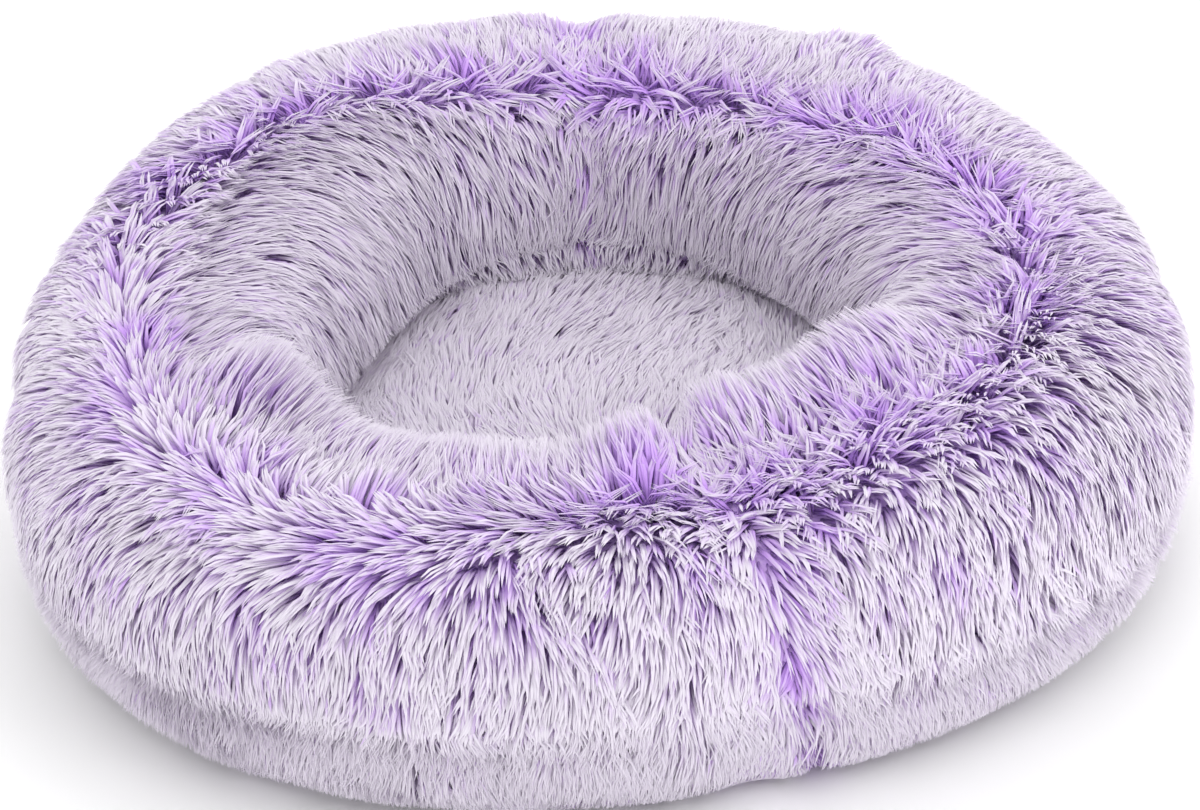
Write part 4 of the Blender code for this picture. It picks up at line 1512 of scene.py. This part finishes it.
    def sweep(self, azimuth: Array, outside: Array, offset: Array) -> Array:
        """How far the pile turns along the ring, as a share of its way down.

        On the left it flows strongly back along the ring beside the parting and less further out, and on
        the right a little forward, as hands and use have combed it.

        Args:
            azimuth: Azimuths in radians.
            outside: Distances outside the parting in metres.
            offset: Distances outside the ring's centre line in metres.

        Returns:
            The turn at each place.
        """
        beside = bell(outside, 0.019) * (outside > -0.008)
        left = bump_at(azimuth, 247, 15) + 0.35 * bump_at(azimuth, 208, 18)
        further = bump_at(azimuth, 205, 18) * smooth_step(offset / 0.02)
        right = bump_at(azimuth, 318, 24) * smooth_step(offset / 0.02)
        back = bump_at(azimuth, 100, 14) * (offset < 0)
        return -1.7 * left * beside - 0.45 * further - 0.5 * right - 0.25 * back

    def clear_of_zip(self, path: Array) -> Array:
        """Shortens the blades above the zip's channel, so that none hangs into it.

        Args:
            path: Points of each blade.

        Returns:
            A factor on each blade's length.
        """
        form = self.form
        azimuth = np.arctan2(path[:, :, 1], path[:, :, 0])
        inside = form.in_channel(azimuth) > 0
        limit = form.seam_height + form.channel_half + self.zip_margin
        root = path[:, 0, 2]
        lowest = np.where(inside, path[:, :, 2], root[:, None]).min(axis=1)
        above = (root > form.seam_height) & (np.hypot(path[:, 0, 0], path[:, 0, 1]) > form.ring_radius)
        factor = np.clip((root - limit) / np.maximum(root - lowest, TINY), self.shortest_share, 1.0)
        return np.where(above & inside.any(axis=1) & (lowest < limit), factor, 1.0)

    def build(self) -> None:
        """Builds the backings and grows the fur, each panel's in three pieces and the border's in four."""
        form = self.form
        a, b = self.root.scatter(self.clumps, 3, (0, TAU), (0.003, 0.997))
        more_a, more_b = self.root.scatter(self.clumps, 4, (0, TAU), (0.003, 0.997))
        spot = self.root.place(more_a, more_b)[0]
        outside = np.hypot(spot[:, 0], spot[:, 1]) - form.section(more_a)[0] - self.parting(more_a)
        beyond = np.hypot(spot[:, 0], spot[:, 1]) > form.ring_radius
        thick = (np.abs(outside) < self.thick_band) & (spot[:, 2] > 0.1)
        thick |= beyond & (spot[:, 2] < self.thick_height)
        a, b = np.concatenate([a, more_a[thick]]), np.concatenate([b, more_b[thick]])
        point = self.root.place(a, b)[0]
        channel = form.in_channel(a) > 0
        off_zip = np.abs(point[:, 2] - form.seam_height) > form.channel_half + self.zip_margin / 2
        inner = np.hypot(point[:, 0], point[:, 1]) < form.ring_radius
        keep = inner | ~channel | off_zip
        a, b, point = a[keep], b[keep], point[keep]
        outside = np.hypot(point[:, 0], point[:, 1]) > form.ring_radius
        border = outside & (point[:, 2] < form.seam_height)
        for index, (start, end) in enumerate(form.seam_spans()):
            name = self.names[index]
            self.make_backing(name, start, end)
            here = (a >= start) & (a < end)
            bands = np.quantile(b[here & ~border], (0, 0.34, 0.67, 1))
            for band, (label, _, _) in enumerate(self.bands):
                chosen = here & ~border & (b >= bands[band]) & (b <= bands[band + 1])
                piece = f"bolster_fur_{name}_{label}"
                seed = 100 + index * 10 + band
                self.grow(a[chosen], b[chosen], band, seed, piece, "bolster_panel_" + name, self.clear_of_zip)
            chosen = here & border
            self.grow(a[chosen], b[chosen], 0, 200 + index, "border_fur_" + name, "base_border")
        self.make_border_backing()

    def grow(
        self, a: Array, b: Array, band: int, seed: int, name: str, node: str,
        keep_out: Callable | None = None,
    ) -> None:
        """Grows one piece of the fur.

        Args:
            a: Azimuths of its clumps.
            b: Shares of the section.
            band: Which band's blades it has.
            seed: The seed of its random draws.
            name: The piece's name.
            node: The CAD node's name.
            keep_out: A function of the paths that gives a factor on each blade's length.
        """
        _, shares, outline = self.bands[band]
        pelt = Pelt(self.root, self.lay, seed, self.finish, shares=shares, outline=outline)
        pelt.make(name, pelt.grow(a, b, self.comb, keep_out), self.fur, node)

    def shell(self, azimuth: Array, first: int, last: int) -> Array:
        """Loops of a thin shell: the backing's section from one point to another, and back beneath it.

        Args:
            azimuth: The azimuth of each loop.
            first: The section's first point.
            last: The point after its last one.

        Returns:
            A row of points for each loop, the outer face first.
        """
        radius, height = self.section(azimuth, over_pile=False)
        outer = np.stack([radius, height], axis=-1)[:, first:last]
        under = drawn_in(outer, self.backing_thickness)
        loop = np.concatenate([outer, under[:, ::-1]], axis=1)
        return about_axis(loop[..., 0], azimuth[:, None], loop[..., 1])

    def tuck_behind_zip(self, azimuth: Array, ring: Array, side: float) -> Array:
        """Takes the part of a backing that lies in the zip's channel in behind the tapes, against the lining.

        Args:
            azimuth: The azimuth of each row.
            ring: The backing's loops, its outer face first and its inner face after it.
            side: 1 above the seam and -1 below it.

        Returns:
            The loops with that part drawn in.
        """
        form = self.form
        channel = form.in_channel(azimuth)[:, None]
        radius = np.hypot(ring[..., 0], ring[..., 1])
        outside = radius > form.ring_radius
        reach = (ring[..., 2] - form.seam_height) * side
        hidden = outside & (reach < form.channel_half * channel) & (channel > 0)
        outer_face = np.arange(ring.shape[1]) < ring.shape[1] // 2
        drawn = form.lining_radius + np.where(outer_face, *self.tucked)
        scale = np.where(hidden, drawn / radius, 1.0)
        ring = ring * np.stack([scale, scale, np.ones_like(scale)], axis=-1)
        level = form.seam_height + side * np.maximum(reach, self.backing_gap / 2)
        ring[..., 2] = np.where(outside, level, ring[..., 2])
        return ring

    def make_backing(self, name: str, start: float, end: float) -> None:
        """One panel's backing, a closed shell that carries the fur.

        Args:
            name: The panel's name.
            start: The azimuth of its first seam, in radians.
            end: The azimuth of its second seam.
        """
        half_gap = self.backing_gap / self.form.ring_radius
        azimuth = np.linspace(start + half_gap, end - half_gap, 37)
        ring = self.shell(azimuth, self.border_points - 1, self.root.points.shape[1])
        ring = self.tuck_behind_zip(azimuth, ring, 1.0)
        rows, size = ring.shape[:2]
        cap = strip_cap(size)
        faces = [grid_quads(rows, size)[:, ::-1], cap, cap[:, ::-1] + (rows - 1) * size]
        piece = mesh_piece("bolster_backing_" + name, ring.reshape(-1, 3), faces)
        give(piece, self.backing)
        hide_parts("bolster_panel_" + name)

    def make_border_backing(self) -> None:
        """The border's backing, a closed band whose hem is turned in over the disc underneath."""
        azimuth = full_turn(240)
        ring = self.shell(azimuth, 0, self.border_points)
        ring = self.tuck_behind_zip(azimuth, ring, -1.0)
        edge = self.form.hem_radius + self.backing_gap / 2
        below, above = (about_axis(edge, azimuth, z)[:, None] for z in self.hem_heights)
        piece = looped_piece("border_backing", np.concatenate([below, ring, above], axis=1))
        give(piece, self.backing)
        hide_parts("base_border")


@dataclass
class Nest:
    """The crowned sleeping surface: its backing and its pile, which lies in slow drifts."""

    form: RingForm
    fur: bpy.types.Material
    backing: bpy.types.Material
    finish: FurFinish
    radius: float = 0.1465
    low: float = 0.0445
    crown: float = 0.004
    pile: float = 0.0105
    clumps: int = 4200
    blade_width: float = 0.0019
    thickness: float = 0.0016
    grid: int = 121

    def height(self, x: Array, y: Array) -> Array:
        """The backing's height: a low crown that eases down towards its edge, with soft hollows.

        Args:
            x: Places across the bed.
            y: Places from its front to its back.

        Returns:
            Heights in metres.
        """
        far = np.hypot(x, y) / self.radius
        dent = 0.0012 * np.sin(31 * x + 1.0) * np.sin(27 * y + 0.4)
        return self.low + self.crown * (1 - np.clip(far, 0, 1) ** 2) + dent

    def build(self) -> None:
        """Builds the backing and the pile."""
        line = np.linspace(-self.radius * 1.06, self.radius * 1.06, self.grid)
        x, y = np.meshgrid(line, line, indexing="ij")
        sheets = []
        for rise in (0.0, self.pile):
            points = np.stack([x, y, self.height(x, y) + rise], axis=-1)
            sheet = Sheet(line, line, points, closed=False)
            sheet.face_out(np.array([0.0, 0.0, 1.0]))
            sheets.append(sheet)
        self.make_backing()
        span = (-self.radius, self.radius)
        a, b = sheets[0].scatter(round(self.clumps * 4 / math.pi), 70, span, span)
        chosen = np.hypot(a, b) < self.radius - 0.003
        _, shares, outline = RingCoat.bands[0]
        pelt = Pelt(*sheets, 71, self.finish, blade_width=self.blade_width, shares=shares, outline=outline)
        locks = pelt.grow(a[chosen], b[chosen], self.comb)
        pelt.make("sleeping_fur", locks, self.fur, "sleeping_surface")

    def make_backing(self) -> None:
        """The backing as a closed disc: rings of points over the top, and the same rings below."""
        share = np.concatenate([[0.002], np.linspace(0.06, 1.0, 26)])
        top = about_axis(share[:, None] * self.radius, full_turn(96), 0.0)
        top[..., 2] = self.height(top[..., 0], top[..., 1])
        below = top[::-1] - np.array([0, 0, self.thickness])
        piece = capped_piece("sleeping_backing", np.concatenate([top, below], axis=0))
        give(piece, self.backing)
        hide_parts("sleeping_surface")

    def comb(self, a: Array, b: Array, point: Array, rng: np.random.Generator) -> Comb:
        """How the pile lies in the nest: towards the back, with slow drifts to either side.

        Args:
            a: Places across the bed.
            b: Places from its front to its back; not used.
            point: The points there.
            rng: The clump's random draws.

        Returns:
            The comb at each place.
        """
        count = len(a)
        heading = 1.3 + 0.55 * Ripple(0.24, 31).at(point) + 0.28 * Ripple(0.07, 32).at(point)
        heading = heading + rng.normal(0, 0.22, count)
        reach = 0.021 + rng.normal(0, 0.002, count)
        rise = 0.95 + 0.1 * Ripple(0.03, 33).at(point) + rng.normal(0, 0.08, count)
        tone = -0.1 + 0.4 * Ripple(0.05, 34).at(point)
        early, gather = np.full(count, 1.7), np.full(count, 0.5)
        return Comb(np.cos(heading), np.sin(heading), reach, rise, early, tone, gather)


@dataclass
class Underside:
    """The stretched woven disc that the bed stands on, its grip dots and the stitches round its edge."""

    cloth: bpy.types.Material
    rubber: bpy.types.Material
    thread: bpy.types.Material
    radius: float = 0.2468
    low: float = 0.0010
    thickness: float = 0.0008
    dot_pitch: float = 0.0125
    dot_radius: float = 0.0019
    dot_height: float = 0.00095
    dot_margin: float = 0.014
    stitch_radius: float = 0.2435
    stitch_count: int = 340
    stitch_length: float = 0.0031
    stitch_width: float = 0.0007

    def build(self) -> None:
        """Builds the disc, the dots and the stitches."""
        self.make_cloth()
        self.make_dots()
        self.make_stitches()

    def make_cloth(self) -> None:
        """The disc: level underneath, with its edge turned up into the border's hem."""
        top = self.low + self.thickness
        level, turn_up = self.radius - 0.004, 0.0006
        corners = [(POLE, self.low), (level, self.low), (self.radius, self.low + turn_up),
                   (self.radius, top + turn_up), (level, top), (POLE, top)]
        piece = turned("base_cloth", corners, 0.006, 160)
        give(piece, self.cloth)
        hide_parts("base_panel")

    def make_dots(self) -> None:
        """Moulded dots on a triangular grid over the disc."""
        reach = math.ceil(self.radius / self.dot_pitch) + 2
        i, j = np.meshgrid(np.arange(-reach, reach + 1), np.arange(-reach, reach + 1), indexing="ij")
        x = (i + 0.5 * (j % 2)).ravel() * self.dot_pitch
        y = j.ravel() * self.dot_pitch * math.sqrt(3) / 2
        inside = np.hypot(x, y) < self.radius - self.dot_margin
        centres = np.stack([x[inside], y[inside], np.full(inside.sum(), self.low + 0.00002)], axis=-1)
        piece = domes("grip_dots", centres, self.dot_radius, self.dot_height)
        give(piece, self.rubber)
        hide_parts("base_panel")

    def make_stitches(self) -> None:
        """One row of stitches along the disc's edge."""
        azimuth = full_turn(self.stitch_count)
        centres = about_axis(self.stitch_radius, azimuth, self.low)
        along = np.stack([-np.sin(azimuth), np.cos(azimuth), 0 * azimuth], axis=-1)
        out = np.tile([0.0, 0.0, -1.0], (len(azimuth), 1))
        piece = beads("base_stitches", centres, along, out, self.stitch_length, self.stitch_width)
        give(piece, self.thread)
        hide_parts("base_panel")


@dataclass
class InnerBags:
    """What the fur hides: the woven bags, the divider between them and the fibre that fills them."""

    coat: RingCoat
    lining: bpy.types.Material
    fibre: bpy.types.Material
    bag_low: float = 0.0030
    bag_top: float = 0.0337
    side_low: float = 0.2460
    side_high: float = 0.2640
    foot: float = 0.150
    crown: float = 0.0095
    sheet: float = 0.0009
    gap: float = 0.0004
    spacing: float = 0.008
    steps: int = 120
    # How deep the bag's outer face, its inner face and the fibre lie under the fur's backing
    depths: tuple = (0.0024, 0.0033, 0.0042)
    pucker: float = 0.0003

    def build(self) -> None:
        """Builds the lower cushion's bag and fibre, the divider, and the ring's bag and fibre."""
        self.make_base()
        self.make_divider()
        self.make_ring()

    def side(self, inset: float, low: float, high: float) -> list:
        """The lower cushion's side, from its rim down: a quarter ellipse between two radii.

        Args:
            inset: How far inside the bag's outer face it lies.
            low: Its lowest height.
            high: Its highest height.

        Returns:
            Pairs of a radius and a height.
        """
        share = np.linspace(1, 0, 12)
        radius = self.side_low + (self.side_high - self.side_low) * np.sqrt(1 - (1 - share) ** 2) - inset
        return list(zip(radius, low + (high - low) * share))

    def dome(self, drop: float, reach: float) -> list:
        """The lower cushion's top from its middle out: a low crown over the nest, then level.

        Args:
            drop: How far below the bag's top face it lies.
            reach: Its largest radius.

        Returns:
            Pairs of a radius and a height.
        """
        radius = np.array([POLE, 0.04, 0.08, 0.11, 0.13, 0.145, self.foot + 0.004, reach])
        rise = self.crown * (1 - np.clip(radius / self.foot, 0, 1) ** 2)
        return list(zip(radius, self.bag_top - drop + rise))

    def make_base(self) -> None:
        """The bag's lower and upper halves and the fibre between them."""
        rim = self.bag_top - self.sheet - self.gap
        floor = self.bag_low + self.sheet
        outer = [(POLE, self.bag_low)] + self.side(0.0, self.bag_low, rim)[::-1]
        inner = self.side(self.sheet, floor, rim) + [(POLE, floor)]
        lower = turned("base_bag_lower", outer + inner, self.spacing, self.steps)
        lid = self.dome(self.sheet, self.side_high) + self.dome(0.0, self.side_high)[::-1]
        upper = turned("base_bag_upper", lid, self.spacing, self.steps)
        inset, slack = self.sheet + self.gap, 0.001
        low = floor + self.gap
        belly = [(POLE, low)] + self.side(inset, low, rim - slack)[::-1]
        belly = belly + self.dome(inset, self.side_high - inset - slack)[::-1]
        fibre = turned("base_fibre", belly, self.spacing, self.steps)
        for piece, node in ((lower, "base_liner_lower"), (upper, "base_liner_upper")):
            give(piece, self.lining)
            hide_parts(node)
        give(fibre, self.fibre)
        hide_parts("base_fill")

    def make_divider(self) -> None:
        """The woven ring that closes the bolster's underside."""
        low = self.bag_top + self.gap
        outer, inner = self.side_high, self.foot + 0.0005
        corners = [(inner, low), (outer, low), (outer, low + self.sheet), (inner, low + self.sheet)]
        profile = fine_profile(corners + [corners[0]], 0.006)[:-1]
        points = about_axis(profile[:, :1], full_turn(160)[None, :], profile[:, 1:])
        piece = looped_piece("divider_cloth", points)
        give(piece, self.lining)
        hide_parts("bolster_divider")

    def layer(self, azimuth: Array, depth: float) -> Array:
        """The section drawn inwards by a depth, and no further out than the lining behind the zip.

        Args:
            azimuth: Azimuths in radians.
            depth: The depth in metres, to which the puckers are added.

        Returns:
            Radii and heights, with a row for each azimuth.
        """
        form = self.coat.form
        radius, height = self.coat.section(azimuth, over_pile=False)
        pucker = self.pucker * (1 + np.sin(48 * azimuth[:, None]))[..., None]
        drawn = drawn_in(np.stack([radius, height], axis=-1), depth + pucker)
        behind = (radius > form.ring_radius) & (height < form.tape_top)
        limit = form.lining_radius + 0.0022 - depth
        drawn[..., 0] = np.where(behind, np.minimum(drawn[..., 0], limit), drawn[..., 0])
        return drawn

    def make_ring(self) -> None:
        """The ring's bag, which meets itself at its widest line, and the fibre inside it."""
        coat = self.coat
        azimuth = full_turn(192)
        first = coat.border_points + 1
        widest = coat.border_points - 1 + coat.wall_points - 1
        crest_end = widest + coat.crown_points - 1
        last = coat.root.points.shape[1]
        outer, under, core = (self.layer(azimuth, depth) for depth in self.depths)
        top = slice(widest, crest_end + 1, 3)
        upper = np.concatenate([outer[:, top], under[:, top][:, ::-1]], axis=1)
        low_out, low_in = (
            np.concatenate([face[:, crest_end:last:3], face[:, first:widest:3]], axis=1)
            for face in (outer, under)
        )
        lower = np.concatenate([low_out, low_in[:, ::-1]], axis=1)
        fill = core[:, first:last:3]
        bottom = self.bag_top + 2 * self.gap + self.sheet
        for name, loop, node, material, slot, floor in (
            ("ring_bag_upper", upper, "bolster_liner_upper", self.lining, Slot.LINING, 0.0),
            ("ring_bag_lower", lower, "bolster_liner_lower", self.lining, Slot.LINING, bottom),
            ("ring_fibre", fill, "bolster_fill", self.fibre, Slot.FILL, bottom + 0.002),
        ):
            level = np.maximum(loop[..., 1], floor)
            piece = looped_piece(name, about_axis(loop[..., 0], azimuth[:, None], level))
            give(piece, material)
            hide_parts(node)


@dataclass
class Zip:
    """The zip: woven tapes with their stitches, on the CAD's teeth, stops, slider and pull."""

    tape: bpy.types.Material
    thread: bpy.types.Material
    teeth: bpy.types.Material
    metal: bpy.types.Material
    radius: float = 0.268
    seam: float = 0.034
    near: float = 0.0028
    far: float = 0.0116
    half_angle: float = 0.5224
    thickness: float = 0.0007
    stitch_offsets: tuple = (0.0066, 0.0078)
    stitch_pitch: float = 0.0034
    stitch_length: float = 0.0026
    stitch_width: float = 0.00055

    def make_tape(self, side: Side) -> None:
        """One tape: a thin woven strip round the zip, with a corded edge next to the teeth.

        Its half thickness is t/2 (0.7 + 0.6 exp(-(v / 0.0008)^2)) at a distance v from that edge.

        Args:
            side: Which row it carries.
        """
        azimuth = math.pi / 2 + np.linspace(-self.half_angle, self.half_angle, 241)[:, None]
        across = np.concatenate([np.linspace(self.near, 0.0050, 8), np.linspace(0.0055, self.far, 9)])
        half = self.thickness / 2 * (0.7 + 0.6 * bell(across - self.near, 0.0008))
        v = np.concatenate([across, across[::-1]])
        radius = self.radius + np.concatenate([half, -half[::-1]])
        points = about_axis(radius, azimuth, self.seam + side.value * v)
        rows, size = points.shape[:2]
        cap = strip_cap(size)
        faces = [grid_quads(rows, size), cap[:, ::-1], cap + (rows - 1) * size]
        if side is Side.UPPER:
            faces = [f[:, ::-1] for f in faces]
        piece = mesh_piece("zip_tape_cloth_" + side.name.lower(), points.reshape(-1, 3), faces, smooth=False)
        u = (azimuth - azimuth[0]) * self.radius
        local = np.stack([u + 0 * v, v + 0 * u], axis=-1).reshape(-1, 2)
        order = np.concatenate([f.reshape(-1) for f in faces])
        layer = piece.data.uv_layers.new(name=TAPE_UV)
        layer.data.foreach_set("uv", local[order].astype(np.float32).reshape(-1))
        give(piece, self.tape)
        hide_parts("zip_tape_" + side.name.lower())

    def make_stitches(self, side: Side) -> None:
        """Two rows of stitches along one tape.

        Args:
            side: Which tape.
        """
        count = round(2 * self.half_angle * self.radius / self.stitch_pitch)
        azimuth = math.pi / 2 + np.linspace(-self.half_angle, self.half_angle, count + 2)[1:-1]
        azimuth = np.tile(azimuth, len(self.stitch_offsets))
        offset = np.repeat(self.stitch_offsets, count)
        out = about_axis(1.0, azimuth, 0.0)
        along = np.stack([-np.sin(azimuth), np.cos(azimuth), 0 * azimuth], axis=-1)
        centres = out * (self.radius + self.thickness * 0.35)
        centres[:, 2] = self.seam + side.value * offset
        name = "zip_stitches_" + side.name.lower()
        piece = beads(name, centres, along, out, self.stitch_length, self.stitch_width)
        give(piece, self.thread)

    def build(self, nodes: dict) -> None:
        """Builds the tapes and stitches, and finishes the CAD nodes of the zip.

        Args:
            nodes: The frame's CAD nodes by name.
        """
        for side in Side:
            self.make_tape(side)
            self.make_stitches(side)
        finishes = {
            self.teeth: ["zip_teeth_upper", "zip_teeth_lower", "zip_top_stop_upper", "zip_top_stop_lower",
                         "zip_bottom_stop"],
            self.metal: ["zip_slider_front", "zip_slider_back", "zip_pull"],
        }
        for material, names in finishes.items():
            for name in names:
                nodes[name].data.materials.clear()
                nodes[name].data.materials.append(material)
                LOG.info("%s: finished", name)


@dataclass(frozen=True)
class Lamp:
    """A square area lamp: its place, its power in watts and its side in metres."""

    name: str
    place: tuple
    power: float
    size: float = 1.8


@dataclass
class Studio:
    """The floor, the soft lamps, the pale surroundings and the camera."""

    lamps: tuple = (
        Lamp("key_lamp", (-0.8, -1.9, 1.9), 6.0),
        Lamp("fill_lamp", (1.9, -1.0, 1.4), 14.0),
        Lamp("back_lamp", (0.3, 1.9, 2.0), 7.0),
    )
    world_strength: float = 1.10
    floor_reach: float = 8.0
    # The camera's target, and where the photograph has it, in pixels
    target: tuple = (0.0, 0.0, 0.08)
    target_x: float = 594.0
    target_y: float = 358.5
    distance: float = 1.8
    elevation_deg: float = 30.36
    roll_deg: float = -2.09
    pixels_per_metre: float = 1987.6
    sensor: float = 36.0

    def build(self) -> None:
        """Builds the surroundings."""
        self.make_floor()
        self.make_world()
        for lamp in self.lamps:
            self.make_lamp(lamp)
        self.make_camera()
        view = bpy.context.scene.view_settings
        view.view_transform = "Standard"

    def make_floor(self) -> None:
        """A wide pale floor that keeps the object's shadow."""
        square = np.array([[-1, -1, 0], [1, -1, 0], [1, 1, 0], [-1, 1, 0]]) * self.floor_reach
        floor = mesh_piece("floor", square, [np.array([[0, 1, 2, 3]])], smooth=False)
        sheet = NodeSheet("pale_floor")
        sheet.shader.inputs["Base Color"].default_value = (0.99, 0.99, 0.99, 1.0)
        sheet.shader.inputs["Roughness"].default_value = 0.9
        floor.data.materials.append(sheet.material)

    def make_world(self) -> None:
        """A plain pale world."""
        world = bpy.data.worlds.new("studio")
        world.use_nodes = True
        background = world.node_tree.nodes["Background"]
        background.inputs["Color"].default_value = (1.0, 1.0, 1.0, 1.0)
        background.inputs["Strength"].default_value = self.world_strength
        bpy.context.scene.world = world

    def make_lamp(self, lamp: Lamp) -> None:
        """Hangs a lamp that looks at the middle of the bed.

        Args:
            lamp: The lamp.
        """
        data = bpy.data.lights.new(lamp.name, "AREA")
        data.size = lamp.size
        data.energy = lamp.power
        hung = bpy.data.objects.new(lamp.name, data)
        bpy.context.scene.collection.objects.link(hung)
        hung.location = lamp.place
        aim = Vector(self.target) - Vector(lamp.place)
        hung.rotation_euler = aim.to_track_quat("-Z", "Y").to_euler()

    def make_camera(self) -> None:
        """A camera at the photograph's angle, whose shift puts the target where the photograph has it.

        It stands at target - distance * forward, turned about its own axis by the roll. Its lens is the
        distance times the pixels per metre, on a sensor as wide as the photograph.
        """
        elevation, roll = math.radians(self.elevation_deg), math.radians(self.roll_deg)
        forward = Vector((0.0, math.cos(elevation), -math.sin(elevation)))
        right = Vector((1.0, 0.0, 0.0))
        up = right.cross(forward)
        right, up = (
            right * math.cos(roll) + up * math.sin(roll),
            up * math.cos(roll) - right * math.sin(roll),
        )
        data = bpy.data.cameras.new("camera")
        data.sensor_width = self.sensor
        data.lens = self.pixels_per_metre * self.distance * self.sensor / PHOTO_WIDTH
        data.shift_x = (PHOTO_WIDTH / 2 - self.target_x) / PHOTO_WIDTH
        data.shift_y = (self.target_y - PHOTO_HEIGHT / 2) / PHOTO_WIDTH
        camera = bpy.data.objects.new("camera", data)
        bpy.context.scene.collection.objects.link(camera)
        turn = Matrix((right, up, -forward)).transposed().to_4x4()
        turn.translation = Vector(self.target) - forward * self.distance
        camera.matrix_world = turn
        bpy.context.scene.camera = camera


def corners(box: tuple) -> list:
    """A box's two corners as plain lists of numbers."""
    return [[float(x) for x in corner] for corner in box]


def main() -> None:
    """Builds and dresses the bed."""
    logging.basicConfig(level=logging.INFO, format="%(name)s %(message)s")
    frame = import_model()
    studio = Studio()
    studio.build()
    form = RingForm()
    fur_finish = FurFinish()
    fur = fur_finish.make()
    backing = BackingFinish().make()
    lining = WovenFinish("lining_weave", (0.86, 0.85, 0.88), (0.74, 0.73, 0.78)).make()
    grip = WovenFinish("grip_weave", (0.33, 0.31, 0.36), (0.24, 0.23, 0.27), 1500.0).make()
    tape = TapeFinish().make()
    thread = SolidFinish("lilac_thread", (0.66, 0.56, 0.80), (0.52, 0.42, 0.68), 0.75, grain=2600.0).make()
    rubber = SolidFinish("moulded_dots", (0.16, 0.15, 0.18), (0.11, 0.10, 0.13), 0.55, grain=1200.0).make()
    fibre = FibreFinish().make()
    teeth = SolidFinish("moulded_teeth", (0.66, 0.57, 0.78), (0.60, 0.50, 0.73), 0.38).make()
    metal = SolidFinish("plated_metal", (0.44, 0.44, 0.47), (0.34, 0.34, 0.37), 0.24, metallic=1.0).make()
    coat = RingCoat(form, fur, backing, fur_finish)
    coat.build()
    Nest(form, fur, backing, fur_finish).build()
    Zip(tape, thread, teeth, metal).build(frame["nodes"])
    InnerBags(coat, lining, fibre).build()
    Underside(grip, rubber, thread).build()


if __name__ == "__main__":
    main()
